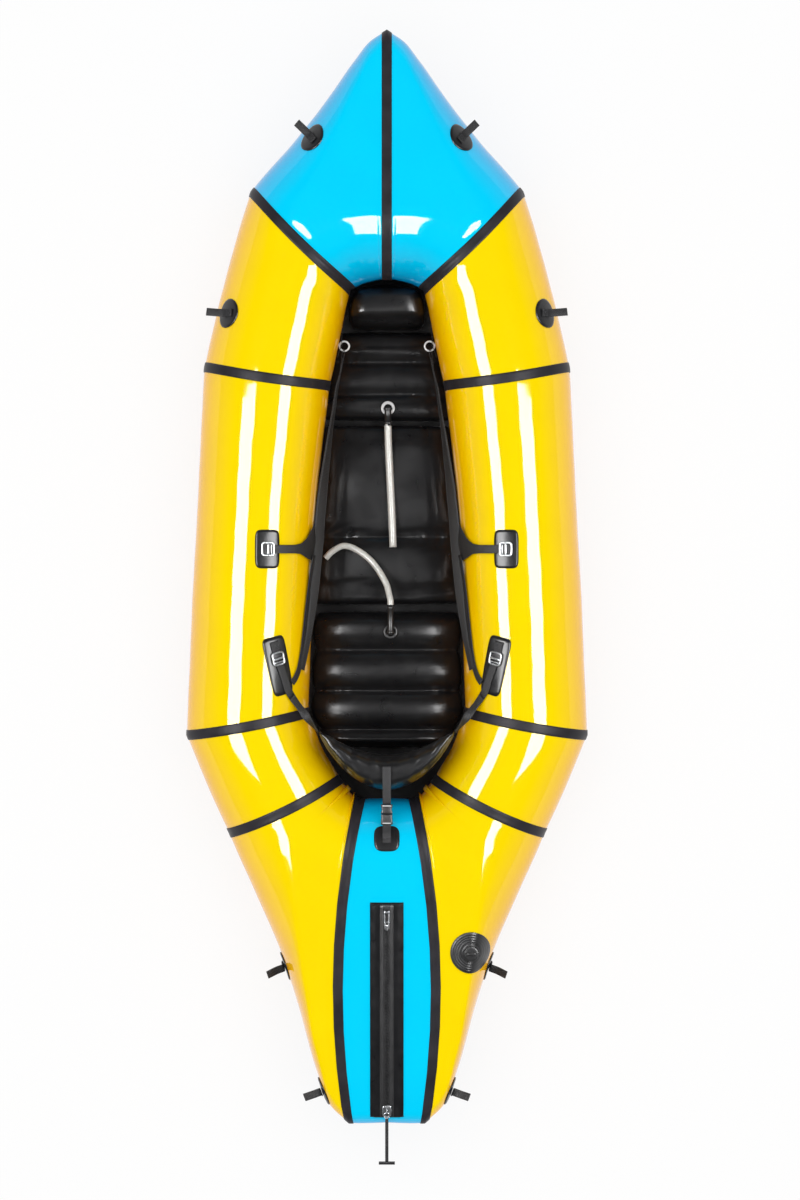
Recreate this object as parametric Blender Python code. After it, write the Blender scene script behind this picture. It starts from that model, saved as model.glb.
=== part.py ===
"""A one-person packraft: an inflated hull of welded panels, floor parts, straps, a valve and a cargo zip.

Units are metres. +Y points to the bow, +X to the right as seen from above with the bow at the top, +Z up.
The raft stands on z = 0 and the origin is under the middle of its bounding box.
"""

import bmesh
import bpy
import numpy as np
from math import asin, cos, pi, radians, sin, sqrt
from mathutils import Matrix, Vector
from mathutils.bvhtree import BVHTree

for old in list(bpy.data.objects):
    bpy.data.objects.remove(old)

# Driving sizes of the hull.
HULL_LENGTH = 2.500
HULL_WIDTH = 0.922
TUBE_HEIGHT = 0.290
BOW_DECK_SHARE = 0.2264
BOW_DECK = HULL_LENGTH * BOW_DECK_SHARE
COCKPIT_LENGTH_SHARE = 0.4748
COCKPIT_LENGTH = HULL_LENGTH * COCKPIT_LENGTH_SHARE
COCKPIT_WIDTH_SHARE = 0.389371
COCKPIT_WIDTH = HULL_WIDTH * COCKPIT_WIDTH_SHARE
WALL = 0.002
BOW_RISE = 0.040
STERN_RISE = 0.015
BOW_TAPER = radians(15.0)
DECK_TAPER = radians(5.0)
STERN_TAPER = radians(10.8)
BOW_TILT = radians(9.0)
DECK_TILT = radians(2.0)
STERN_TILT = radians(5.0)
SHOULDER = radians(6.0)
EDGE_SHARE = 0.27

# How far each seam bows sideways from a straight line between its ends, towards the stern end.
DECK_BOW = 0.010
FRONT_BOW = 0.008
REAR_BOW = 0.004
QUARTER_BOW = 0.008
STERN_BOW = -0.036

# Clearances and thin sheets.
CLEARANCE = 0.0003
SKIN_GAP = 0.0007
TAPE_WIDTH = 0.023
TAPE = 0.0010
TAPE_LIFT = 0.0005
FLOOR = 0.0012
PATCH = 0.0012
WEBBING = 0.0020
REACH = 2.0
NUDGE = CLEARANCE / 30

# The moving pieces, as (name, pivot, axis), in the order in which they are made.
joints = []

# Mesh density of the hull's sections, how much finer the skin is on which patches and straps are seated, and
# how many points a tie-down's disc has across on the wide panels and on the tight ones near the stern.
ARC_POINTS = 9
LINE_POINTS = 3
FINER = 4
EVEN_GRID = 5
TIGHT_GRID = 7

# Inflatable parts on the floor.
CUSHION_AROUND = 20
CUSHION_SIDE = 0.012
CUSHION_BOX_SHARE = 0.62
END_SHARE = 0.35
SIDE_SHARE = 0.35
FLAT_SHARE = 0.4
# How high a floor part's top stays in its creases, as a share of its height.
PILLOW_CREASE_SHARE = 0.90
FRONT_CREASE_SHARE = 0.55
LEG_CREASE_SHARE = 0.70
SEAT_CREASE_SHARE = 0.62
PILLOW_GAP = 0.005
PILLOW_LENGTH_SHARE = 0.0392
PILLOW_LENGTH = HULL_LENGTH * PILLOW_LENGTH_SHARE
PILLOW_HEIGHT_SHARE = 0.568966
PILLOW_HEIGHT = TUBE_HEIGHT * PILLOW_HEIGHT_SHARE
MAT_HEIGHT_SHARE = 0.172414
MAT_HEIGHT = TUBE_HEIGHT * MAT_HEIGHT_SHARE
MAT_GAP = 0.004
FRONT_MAT_LENGTH_SHARE = 0.0848
FRONT_MAT_LENGTH = HULL_LENGTH * FRONT_MAT_LENGTH_SHARE
FRONT_RIB_SHARE = 0.0298
FRONT_RIB = HULL_LENGTH * FRONT_RIB_SHARE
LEG_MAT_LENGTH_SHARE = 0.1700
LEG_MAT_LENGTH = HULL_LENGTH * LEG_MAT_LENGTH_SHARE
LEG_RIB_SHARE = 0.1062
LEG_RIB = HULL_LENGTH * LEG_RIB_SHARE
SEAT_GAP = 0.010
SEAT_HEIGHT_SHARE = 0.293103
SEAT_HEIGHT = TUBE_HEIGHT * SEAT_HEIGHT_SHARE
SEAT_LENGTH_SHARE = 0.1288
SEAT_LENGTH = HULL_LENGTH * SEAT_LENGTH_SHARE
SEAT_RIB_SHARE = 0.0370
SEAT_RIB = HULL_LENGTH * SEAT_RIB_SHARE

# Backrest, a curved pad with raised wings.
BACK_HEIGHT_SHARE = 0.741379
BACK_HEIGHT = TUBE_HEIGHT * BACK_HEIGHT_SHARE
BACK_BOTTOM_SHARE = 0.327586
BACK_BOTTOM = TUBE_HEIGHT * BACK_BOTTOM_SHARE
BACK_DEPTH = 0.084
BACK_WIDTH_SHARE = 0.857939
BACK_WIDTH = COCKPIT_WIDTH * BACK_WIDTH_SHARE
BACK_GAP = 0.014
BACK_SWEEP = 0.062
WING_RISE = 0.115
WING_DEPTH = 0.014
WING_POWER = 12
BACK_AROUND = 16
BACK_STATIONS = 17

# Hoses and their nozzles.
MAT_HOSE = 0.0170
SEAT_HOSE = 0.0146
HOSE_START = 0.008
NOZZLE_WALL = 0.0014
COLLAR = 0.004
ROUND = 24

MAT_HOSE_X = 0.002
MAT_MOUTH_SHARE = 0.3580
MAT_MOUTH = HULL_LENGTH * MAT_MOUTH_SHARE
MAT_NOZZLE_LENGTH = 0.042
SEAT_HOSE_X = 0.008
SEAT_OVERHANG = 0.013
NOZZLE_REST_SHARE = 0.58
SEAT_NOZZLE_LENGTH = SEAT_OVERHANG + SEAT_RIB * NOZZLE_REST_SHARE
SINK_SHARE = 0.12
# Routes of the hoses past their mouths: half-width share of the cockpit, length share of the hull, rise.
MAT_ROUTE = (
    (0.022284, 0.3840, 0.0),
    (0.050139, 0.4240, 0.0),
    (0.077994, 0.4708, 0.0),
)
SEAT_ROUTE_HIGH = (
    (0.033426, 0.5168, -0.002),
    (-0.022284, 0.5032, -0.012),
)
SEAT_ROUTE_LOW = (
    (-0.183844, 0.4852, 0.010),
    (-0.384401, 0.4736, 0.002),
    (-0.557103, 0.4696, 0.0),
    (-0.701950, 0.4744, 0.0),
    (-0.796657, 0.4812, 0.0),
)

# Straps, rings and locks.
STRAP = 0.024
SIDE_STRAP = 0.020
BACK_STRAP = 0.019
LOCK_LENGTH = 0.032
LOCK_WIDTH = 0.034
LOCK_BAR = 0.0045
LOCK_THICK = 0.0040
LOCK_EDGE_DEGREES = 1.0
LOCK_LIFT = 0.0011
RING_OUTER = 0.0130
RING_WIRE = 0.0020
RING_AT_SHARE = 0.2852
RING_AT = HULL_LENGTH * RING_AT_SHARE
STRAP_LIFT = 0.0035

# Patches, tie-downs and the main valve.
SIDE_PATCH = (0.057, 0.088)
REAR_PATCH = (0.056, 0.135)
BACK_PATCH = (0.058, 0.062)
PATCH_CORNER = 0.006
SIDE_PATCH_AT_SHARE = 0.4736
SIDE_PATCH_AT = HULL_LENGTH * SIDE_PATCH_AT_SHARE
SIDE_PATCH_ANGLE = radians(77.0)
REAR_PATCH_AT_SHARE = 0.5796
REAR_PATCH_AT = HULL_LENGTH * REAR_PATCH_AT_SHARE
REAR_PATCH_ANGLE = radians(61.0)
REAR_PATCH_TURN = radians(16.5)
BACK_PATCH_AT_SHARE = 0.7360
BACK_PATCH_AT = HULL_LENGTH * BACK_PATCH_AT_SHARE
REAR_STRAP_SHARES = (0.0, 0.33, 0.67, 1.0)
REAR_STRAP_SHIFT = 0.011
REAR_STRAP_LEAVES = ((0.6136, 41.0, 0.0060),)
# Routes on a side tube: share of the hull's length, angle up from the cockpit side in degrees, and lift off
# the skin.
THIGH_ROUTE = (
    (0.3200, 3.0, 0.0180),
    (0.3544, 6.0, 0.0160),
    (0.3920, 8.0, 0.0140),
    (0.4280, 10.0, 0.0120),
    (0.4600, 13.0, 0.0100),
    (0.4856, 16.0, STRAP_LIFT),
    (0.5160, 18.0, STRAP_LIFT),
    (0.5480, 22.0, STRAP_LIFT),
    (0.5720, 29.0, STRAP_LIFT),
    (0.5832, 33.0, STRAP_LIFT),
)
SIDE_ROUTE = (
    (0.4760, 45.0, STRAP_LIFT),
    (0.4824, 30.0, STRAP_LIFT),
    (0.4856, 16.0, STRAP_LIFT),
)
TIE_DISC = 0.068
TIE_TAB_LENGTH = 0.052
TIE_TAB_WIDTH = 0.018
TIE_TAB = 0.0040
TIE_LEAN = radians(33.0)
STERN_TIE_LEAN = radians(60.0)
# Which way each tab points on the right side, as a direction.
BOW_TAB_WAY = (1.0, 0.8, 0.3)
FRONT_TAB_WAY = (1.0, 0.1, -0.2)
STERN_TAB_WAY = (0.2, -0.3, 1.0)
TAIL_TAB_WAY = (0.2, 0.1, 1.0)
# Places from above as shares of the hull's width and length, then places on its side as shares of its length
# and of the tube's height.
BOW_TIE_SHARES = (0.184382, 0.0992)
FRONT_TIE_SHARES = (0.392625, 0.2584)
VALVE_SHARES = (0.207158, 0.8400)
STERN_TIE_SHARES = (0.8556, 0.5862)
TAIL_TIE_SHARES = (0.9688, 0.7300)
VALVE_FLANGE = 0.094
VALVE_BODY = 0.040
VALVE_HEIGHT = 0.011
CAP_OUTER = 0.034
CAP_HEIGHT = 0.012
CAP_GRIP = 0.007
GRIP_SHARE = 0.45
GRIP_ROOT_SHARE = 1.2

# Side-release buckle of the backrest strap.
BUCKLE_WIDTH = 0.027
BUCKLE_THICK = 0.010
SOCKET_LENGTH = 0.024
SOCKET_WALL = 0.0022
PLUG_LENGTH = 0.022
TONGUE_LENGTH = 0.018
TONGUE_TIP_SHARE = 0.8
TAIL_START_SHARE = 0.05
TAIL_END_SHARE = -0.15
TAIL_SINK_SHARE = 0.6
BUCKLE_AT_SHARE = 0.7140
BUCKLE_AT = HULL_LENGTH * BUCKLE_AT_SHARE

# Cargo zip, given along its own straight line.
ZIP_LENGTH_SHARE = 0.1980
ZIP_LENGTH = HULL_LENGTH * ZIP_LENGTH_SHARE
ZIP_PANEL_WIDTH = 0.076
ZIP_PANEL = 0.0030
ZIP_TAPE_WIDTH = 0.032
ZIP_TAPE = 0.0015
ZIP_TEETH_WIDTH = 0.0085
ZIP_TEETH = 0.0030
ZIP_FROM_BOW_SHARE = 0.7940
ZIP_FROM_BOW = HULL_LENGTH * ZIP_FROM_BOW_SHARE
ZIP_END_LENGTH = 0.046
ZIP_END_WIDTH = 0.017
ZIP_END_HEIGHT = 0.007
SLIDER_LENGTH = 0.026
SLIDER_WIDTH = 0.021
SLIDER_HEIGHT = 0.011
SLIDER_WALL = 0.0022
ZIP_STEPS = 20
ZIP_CROWDING = 1.5
ZIP_MARGIN = 0.018
ZIP_STOP = 0.002
ZIP_LEVEL_SHARES = (0.1, 0.8)
PULL_EYE = 0.013
PULL_EYE_BAR = 0.003
PULL_THICK = 0.0022
PULL_LENGTH = 0.094
LUG_LENGTH = 0.004
PULL_BAR_LENGTH = 0.037
PULL_BAR = 0.0080
LUG_WIDTH = 0.005
LUG_HEIGHT = 0.005

# Plan of the hull. Each row is a rib: half-width share and length share of its outer end on the hull, then
# half-width share and length share of its inner end on the cockpit. A panel's first row is its seam.
PANEL_SHARES = (
    (
        (0.000, 0.0000, 0.00, 0.000),
        (0.085, 0.0101, 0.09, 0.000),
        (0.160, 0.0270, 0.13, 0.001),
        (0.310, 0.0645, 0.20, 0.003),
        (0.480, 0.1030, 0.28, 0.006),
        (0.625, 0.1320, 0.35, 0.010),
    ),
    (
        (0.681, 0.1440, 0.46, 0.018),
        (0.755, 0.1900, 0.53, 0.060),
        (0.835, 0.2450, 0.62, 0.125),
    ),
    (
        (0.912, 0.3060, 0.73, 0.204),
        (0.938, 0.4050, 0.88, 0.400),
        (0.972, 0.5250, 0.96, 0.640),
    ),
    (
        (1.000, 0.6440, 1.00, 0.835),
        (0.910, 0.6840, 0.84, 0.900),
    ),
    (
        (0.790, 0.7340, 0.59, 0.963),
        (0.661, 0.7870, 0.51, 0.978),
        (0.531, 0.8420, 0.49, 0.983),
        (0.434, 0.8970, 0.46, 0.988),
        (0.347, 0.9520, 0.44, 0.991),
        (0.275, 0.9840, 0.42, 0.994),
    ),
    (
        (0.190, 0.9995, 0.34, 1.000),
        (0.095, 0.9985, 0.17, 1.000),
    ),
    ((0.000, 0.9975, 0.00, 1.000),),
)
SEAMS = ("bow", "deck", "front", "rear", "quarter", "stern")
PANELS = ("bow_panel", "front_panel", "mid_panel", "quarter_panel", "tail_panel", "stern_panel")

# Each seam's taper, tilt, rise of its underside and sideways bow, then the same for the stern's middle.
SEAM_SHAPES = (
    (BOW_TAPER, BOW_TILT, BOW_RISE, 0.0),
    (DECK_TAPER, DECK_TILT, 0.0, DECK_BOW),
    (0.0, 0.0, 0.0, FRONT_BOW),
    (0.0, 0.0, 0.0, REAR_BOW),
    (0.0, 0.0, 0.0, QUARTER_BOW),
    (STERN_TAPER, STERN_TILT, STERN_RISE, STERN_BOW),
    (STERN_TAPER, STERN_TILT, STERN_RISE, 0.0),
)

# Finishes: colour, roughness, metallic.
FINISHES = {
    "yellow": ((1.00, 0.62, 0.00, 1.0), 0.15, 0.0),
    "cyan": ((0.00, 0.55, 0.90, 1.0), 0.15, 0.0),
    "tape": ((0.030, 0.028, 0.032, 1.0), 0.55, 0.0),
    "black": ((0.012, 0.012, 0.014, 1.0), 0.35, 0.0),
    "floor": ((0.020, 0.020, 0.022, 1.0), 0.50, 0.0),
    "webbing": ((0.018, 0.018, 0.020, 1.0), 0.80, 0.0),
    "plastic": ((0.015, 0.015, 0.017, 1.0), 0.40, 0.0),
    "steel": ((0.72, 0.72, 0.74, 1.0), 0.22, 1.0),
    "white": ((0.85, 0.85, 0.85, 1.0), 0.35, 0.0),
    "hose": ((0.80, 0.80, 0.78, 1.0), 0.25, 0.0),
}

SHARP = radians(35.0)


def finish(name, kind):
    """A material of this object's own, with the colour, roughness and metallic value of its finish."""
    colour, roughness, metallic = FINISHES[kind]
    material = bpy.data.materials.new(name + "_" + kind)
    material.use_nodes = True
    shader = material.node_tree.nodes["Principled BSDF"]
    shader.inputs["Base Color"].default_value = colour
    shader.inputs["Roughness"].default_value = roughness
    shader.inputs["Metallic"].default_value = metallic
    material.diffuse_color = colour
    return material


def add(name, points, faces, kind, pivot=None, flat=False):
    """An object from points in world space; its origin goes to the pivot when it has one."""
    mesh = bpy.data.meshes.new(name)
    mesh.from_pydata([tuple(point) for point in points], [], faces)
    work = bmesh.new()
    work.from_mesh(mesh)
    bmesh.ops.remove_doubles(work, verts=work.verts, dist=NUDGE)
    bmesh.ops.recalc_face_normals(work, faces=work.faces)
    if work.calc_volume(signed=True) < 0:
        bmesh.ops.reverse_faces(work, faces=work.faces)
    work.to_mesh(mesh)
    work.free()
    if not flat:
        mesh.shade_smooth()
        mesh.set_sharp_from_angle(angle=SHARP)
    thing = bpy.data.objects.new(name, mesh)
    bpy.context.scene.collection.objects.link(thing)
    mesh.materials.append(finish(name, kind))
    if pivot is not None:
        mesh.transform(Matrix.Translation(-Vector(pivot)))
        thing.location = pivot
    return thing


def between(first, second, around=False):
    """Points and faces of the thin solid between two grids of points, joined across when it goes around."""
    first = np.asarray(first, float)
    second = np.asarray(second, float)
    rows, columns = first.shape[:2]
    count = rows * columns
    points = np.concatenate([first.reshape(count, 3), second.reshape(count, 3)])
    faces = []
    across = columns if around else columns - 1
    for i in range(rows - 1):
        for j in range(across):
            k = (j + 1) % columns
            a, b, c, d = i * columns + j, i * columns + k, (i + 1) * columns + k, (i + 1) * columns + j
            faces.append((a, b, c, d))
            faces.append((count + d, count + c, count + b, count + a))
    for i in (0, rows - 1):
        for j in range(across):
            a, b = i * columns + j, i * columns + (j + 1) % columns
            faces.append((a, b, count + b, count + a) if i else (b, a, count + a, count + b))
    if not around:
        for j in (0, columns - 1):
            for i in range(rows - 1):
                a, b = i * columns + j, (i + 1) * columns + j
                faces.append((a, b, count + b, count + a) if not j else (b, a, count + a, count + b))
    return points, faces


def lofted(loops):
    """Points and faces of the solid through closed loops, with a cap on each end."""
    loops = np.asarray(loops, float)
    rows, columns = loops.shape[:2]
    faces = [tuple(reversed(range(columns)))]
    for i in range(rows - 1):
        for j in range(columns):
            k = (j + 1) % columns
            faces.append((i * columns + j, i * columns + k, (i + 1) * columns + k, (i + 1) * columns + j))
    faces.append(tuple(range((rows - 1) * columns, rows * columns)))
    return loops.reshape(-1, 3), faces


# The hull: ribs, panels and seam tapes.
TUBE_BASE = FLOOR + CLEARANCE + TAPE + TAPE_LIFT


def from_bow(distance):
    """The Y of a place at this distance behind the bow's tip, which is at Y = 0 until the last step."""
    return -distance


def rib_row(shares):
    """Outer and inner plan points of a rib on the left side."""
    outer = np.array((-shares[0] * HULL_WIDTH / 2, from_bow(shares[1] * HULL_LENGTH)))
    inner = np.array((-shares[2] * COCKPIT_WIDTH / 2, from_bow(BOW_DECK + shares[3] * COCKPIT_LENGTH)))
    return outer, inner


def section_outline(length, taper, tilt, arc_points=ARC_POINTS):
    """Distance from the inner end and height over the ground of a tube's section.

    It goes round a large circle at the cockpit side and a small one at the outer side, whose centres lie on a
    line tilted up, and is then stretched to the length asked for. The small circle keeps at least a share of
    the large one's radius, however long the section is.
    """
    large = min(TUBE_HEIGHT, length) / 2
    edge = large * EDGE_SHARE
    taper = min(taper, asin((large - edge) / (length - large - edge)))
    apart = (length - 2 * large) / (1 - sin(taper))
    small = large - apart * sin(taper)
    crest = pi / 2 - taper
    angles, shares = [], []
    for i in range(arc_points):
        step = i / (arc_points - 1)
        angles.append(crest + SHOULDER + step * (2 * pi - 2 * (crest + SHOULDER)))
        shares.append(0.0)
    for i in range(1, LINE_POINTS + 1):
        step = i / (LINE_POINTS + 1)
        angles.append(-(crest + SHOULDER) + step * 2 * SHOULDER)
        shares.append(step)
    for i in range(arc_points):
        step = i / (arc_points - 1)
        angles.append((2 * step - 1) * (crest - SHOULDER))
        shares.append(1.0)
    for i in range(1, LINE_POINTS + 1):
        step = i / (LINE_POINTS + 1)
        angles.append(crest - SHOULDER + step * 2 * SHOULDER)
        shares.append(1 - step)
    angles, shares = np.array(angles), np.array(shares)
    radius = large + (small - large) * shares
    along = apart * shares + radius * np.cos(angles)
    height = radius * np.sin(angles)
    along, height = along * cos(tilt) - height * sin(tilt), along * sin(tilt) + height * cos(tilt)
    along = (along - along.min()) / (along.max() - along.min()) * length
    return along, TUBE_HEIGHT / 2 + height * TUBE_HEIGHT / (2 * large)


def rib_loop(outer, inner, shape, arc_points):
    """The closed loop of a rib in space, from its plan ends and its (taper, tilt, rise, bow)."""
    taper, tilt, rise, bow = shape
    chord = outer - inner
    length = sqrt(chord @ chord)
    chord = chord / length
    side = np.array((chord[1], -chord[0]))
    along, height = section_outline(length, taper, tilt, arc_points)
    share = along / length
    plan = inner + chord * along[:, None] - side * (4 * bow * share * (1 - share))[:, None]
    return np.column_stack([plan, TUBE_BASE + rise + height])


def beside(seam, other, distance):
    """Plan ends of the rib that runs beside a seam at this distance, on the side of the other rib."""
    outer, inner = seam
    chord = (outer - inner) / np.linalg.norm(outer - inner)
    across = np.array((-chord[1], chord[0]))
    if across @ (other[0] - outer + other[1] - inner) < 0:
        across = -across
    ends = []
    for start, towards in zip(seam, other):
        way = towards - start
        spread = way @ across
        ends.append(start + (way / spread if spread > distance else across) * distance)
    return tuple(ends)


def hull_ribs(arc_points=ARC_POINTS):
    """All ribs of the left half, from the bow's seam to the stern's middle, as (kind, panel, loop)."""
    ribs = []
    for p in range(len(PANELS)):
        rows = [rib_row(shares) for shares in PANEL_SHARES[p] + PANEL_SHARES[p + 1][:1]]
        steps = [np.linalg.norm(b[0] - a[0]) for a, b in zip(rows, rows[1:])]
        along = np.concatenate([[0.0], np.cumsum(steps)]) / sum(steps)
        start, end = np.array(SEAM_SHAPES[p]), np.array(SEAM_SHAPES[p + 1])
        last = p == len(PANELS) - 1
        ribs.append(("seam", p, rib_loop(*rows[0], start, arc_points)))
        ribs.append(("trim", p, rib_loop(*beside(rows[0], rows[1], CLEARANCE / 2), start, arc_points)))
        ribs.append(("edge", p, rib_loop(*beside(rows[0], rows[1], TAPE_WIDTH / 2), start, arc_points)))
        for row, share in list(zip(rows, along))[1:-1]:
            ribs.append(("mid", p, rib_loop(*row, start + (end - start) * share, arc_points)))
        if last:
            ribs.append(("mid", p, rib_loop(*rows[-1], end, arc_points)))
        else:
            ribs.append(("edge", p, rib_loop(*beside(rows[-1], rows[-2], TAPE_WIDTH / 2), end, arc_points)))
            ribs.append(("trim", p, rib_loop(*beside(rows[-1], rows[-2], CLEARANCE / 2), end, arc_points)))
    return ribs


def mirrored(loop):
    return loop * np.array((-1.0, 1.0, 1.0))


def whole_ring(ribs):
    """The loops of both halves in one closed round, the right half mirrored."""
    return np.array([loop for _, _, loop in ribs] + [mirrored(loop) for _, _, loop in ribs[-2:0:-1]])


LEFT = hull_ribs()
RING = whole_ring(LEFT)


def outward(ring):
    """Unit normals at the points of a closed ring of loops, pointing out of the tube."""
    along = np.roll(ring, -1, axis=0) - np.roll(ring, 1, axis=0)
    around = np.roll(ring, -1, axis=1) - np.roll(ring, 1, axis=1)
    normals = np.cross(along, around)
    normals /= np.linalg.norm(normals, axis=2, keepdims=True)
    away = ring - ring.mean(axis=1, keepdims=True)
    return normals if (normals * away).sum() > 0 else -normals


def right_index(index):
    """The ring's index of the right-hand twin of a rib of the left half."""
    return (-index) % len(RING)


def skin_normals():
    """Outward normals of all ribs; beside a seam they equal the seam's, so that both walls meet it alike."""
    normals = outward(RING)
    for i, (kind, _, _) in enumerate(LEFT):
        if kind == "trim":
            seam = i - 1 if LEFT[i - 1][0] == "seam" else i + 1
            normals[i] = normals[seam]
            normals[right_index(i)] = normals[right_index(seam)]
    return normals


NORMALS = skin_normals()


def panel_indices(panel):
    """Ring indices of a left panel's ribs, from trim to trim."""
    return [i for i, (kind, p, _) in enumerate(LEFT) if p == panel and kind != "seam"]


def hull_panel(name, indices, kind):
    outer = RING[indices]
    inner = outer - WALL * NORMALS[indices]
    return add(name, *between(outer, inner, around=True), kind)


def seam_tape(name, indices):
    inner = RING[indices] + TAPE_LIFT * NORMALS[indices]
    outer = inner + TAPE * NORMALS[indices]
    return add(name, *between(outer, inner, around=True), "tape")


for p, panel in enumerate(PANELS[:-1]):
    indices = panel_indices(p)
    colour = "cyan" if p == 0 else "yellow"
    hull_panel(panel + "_left", indices, colour)
    hull_panel(panel + "_right", [right_index(i) for i in indices], colour)
stern_left = panel_indices(len(PANELS) - 1)
hull_panel(PANELS[-1], stern_left + [right_index(i) for i in stern_left[-2::-1]], "cyan")

for p, seam in enumerate(SEAMS):
    here = next(i for i, (kind, q, _) in enumerate(LEFT) if kind == "seam" and q == p)
    if p == 0:
        seam_tape("bow_tape", [right_index(here + 2), here, here + 2])
    else:
        seam_tape(seam + "_tape_left", [here - 2, here, here + 2])
        seam_tape(seam + "_tape_right", [right_index(here - 2), right_index(here), right_index(here + 2)])


# The skin on which a strap, patch or valve is seated: the panels' own faces, split along both diagonals, and a
# finer skin through the same ribs. The first of them that a line meets is the outermost one.
def skin_tree():
    points, faces = [], []
    for ring in (RING, whole_ring(hull_ribs(FINER * (ARC_POINTS - 1) + 1))):
        rows, columns = ring.shape[:2]
        start = len(points)
        points += [Vector(point) for point in ring.reshape(-1, 3)]
        for i in range(rows):
            for j in range(columns):
                k, m = (i + 1) % rows, (j + 1) % columns
                a, b = start + i * columns + j, start + i * columns + m
                c, d = start + k * columns + m, start + k * columns + j
                faces += [(a, b, c), (a, c, d), (a, b, d), (b, c, d)]
    return BVHTree.FromPolygons(points, faces)


SKIN = skin_tree()


def skin_hit(start, direction):
    """Where a straight line from the start first meets the hull, and the outward normal there.

    Five lines a hair apart are cast and the middle hit is taken, because a line that runs exactly along an
    edge between two faces can miss it or stop too early.
    """
    direction = Vector(direction).normalized()
    aside = direction.orthogonal().normalized() + direction.cross(direction.orthogonal()).normalized() / 2
    hits = [SKIN.ray_cast(Vector(start) + aside * NUDGE * step, direction) for step in range(-2, 3)]
    hits = sorted((hit for hit in hits if hit[0] is not None), key=lambda hit: hit[3])
    place, normal, _, _ = hits[len(hits) // 2]
    if normal.dot(direction) > 0:
        normal = -normal
    return place, normal


def from_above(x, y):
    return skin_hit((x, y, REACH), (0, 0, -1))


class Seat:
    """A place on the hull with its own directions: u and v lie along the skin, w points away from it."""

    def __init__(self, place, normal, forward):
        self.place = place
        self.w = normal.normalized()
        self.v = (Vector(forward) - self.w * self.w.dot(Vector(forward))).normalized()
        self.u = self.v.cross(self.w)

    def at(self, u, v, w):
        return self.place + self.u * u + self.v * v + self.w * w

    def onto(self, u, v, lift):
        """The point over the skin at (u, v), this far off it."""
        place, normal = skin_hit(self.at(u, v, TUBE_HEIGHT / 4), -self.w)
        return place + self.w * (lift / max(normal.dot(self.w), sin(SHARP)))

    def matrix(self):
        turn = Matrix((self.u, self.v, self.w)).transposed()
        return Matrix.Translation(self.place) @ turn.to_4x4()


def skin_patch(name, seat, grid, kind, thickness=PATCH, lift=SKIN_GAP):
    """A thin patch on the skin over a grid of (u, v) places."""
    under = [[seat.onto(u, v, lift) for u, v in row] for row in grid]
    over = [[seat.onto(u, v, lift + thickness) for u, v in row] for row in grid]
    return add(name, *between(under, over), kind)


def rectangle_grid(width, length, corner, columns=5, rows=7):
    """Places over a rectangle whose corners are cut round."""
    grid = []
    for i in range(rows):
        v = length * (i / (rows - 1) - 1 / 2)
        cut = corner if i in (0, rows - 1) else 0.0
        grid.append([((width - 2 * cut) * (j / (columns - 1) - 1 / 2), v) for j in range(columns)])
    return grid


def disc_grid(diameter, count=7):
    """Places over a disc, as a square grid pressed into a circle."""
    grid = []
    for i in range(count):
        row = []
        for j in range(count):
            a, b = 2 * i / (count - 1) - 1, 2 * j / (count - 1) - 1
            u, v = a * sqrt(1 - b * b / 2), b * sqrt(1 - a * a / 2)
            row.append((u * diameter / 2, v * diameter / 2))
        grid.append(row)
    return grid


# The bottom sheet spans between the tubes' undersides and carries the floor parts.
def bottom_sheet():
    last = ARC_POINTS - 1
    lefts = [loop[last] for kind, _, loop in LEFT if kind != "trim"]
    under, over = [], []
    for x, y, z in lefts:
        top = max(FLOOR, z - TUBE_BASE + FLOOR - section_drop(last))
        half = max(-x, TAPE_WIDTH / 2)
        over.append([(-half, y, top), (half, y, top)])
        under.append([(-half, y, top - FLOOR), (half, y, top - FLOOR)])
    return add("bottom_sheet", *between(over, under), "floor", flat=True)


def section_drop(index):
    """Height of a plain round section's point over its own underside."""
    return section_outline(TUBE_HEIGHT, 0.0, 0.0)[1][index]


bottom_sheet()


# Cushions on the floor: lofts along the raft whose sections are rounded boxes with channels.
BASE = FLOOR + CLEARANCE
INNER_LINE = np.array([rib_row(shares)[1] for panel in PANEL_SHARES for shares in panel])


def cockpit_half(y):
    """Half the cockpit's width at this Y, at the tubes' middle height."""
    order = np.argsort(INNER_LINE[:, 1], kind="stable")
    return float(np.interp(y, INNER_LINE[order, 1], -INNER_LINE[order, 0]))


def rounded(value, share):
    return np.sign(value) * np.abs(value) ** share


def cushion(name, front, length, height, side, pitch, crease, per_rib=6, rim=MAT_HEIGHT / 4):
    """An inflated pad: its crown falls to drawn-in sides, and each crease presses its top down."""
    back = front - length
    count = max(2, round(length / pitch)) * per_rib
    angles = 2 * pi * np.arange(CUSHION_AROUND) / CUSHION_AROUND
    loops = []
    for i in range(count + 1):
        y = front + (back - front) * i / count
        near_end = min(front - y, y - back)
        swell = sqrt(max(0.0, 1 - max(0.0, 1 - near_end / rim) ** 2))
        rib = sqrt(abs(sin(pi * (front - y) / pitch)))
        tall = height * (crease + (1 - crease) * rib) * (END_SHARE + (1 - END_SHARE) * swell)
        half = (cockpit_half(y) + side) - rim * (1 - swell) * SIDE_SHARE - rim * SIDE_SHARE * (1 - rib)
        x = half * rounded(np.cos(angles), CUSHION_BOX_SHARE)
        z = np.sin(angles)
        top = np.where(z > 0, tall / 2 * (1 + z), tall / 2 * (1 - rounded(-z, FLAT_SHARE)))
        loops.append(np.column_stack([x, np.full_like(x, y), BASE + top]))
    return add(name, *lofted(loops), "black")


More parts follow.
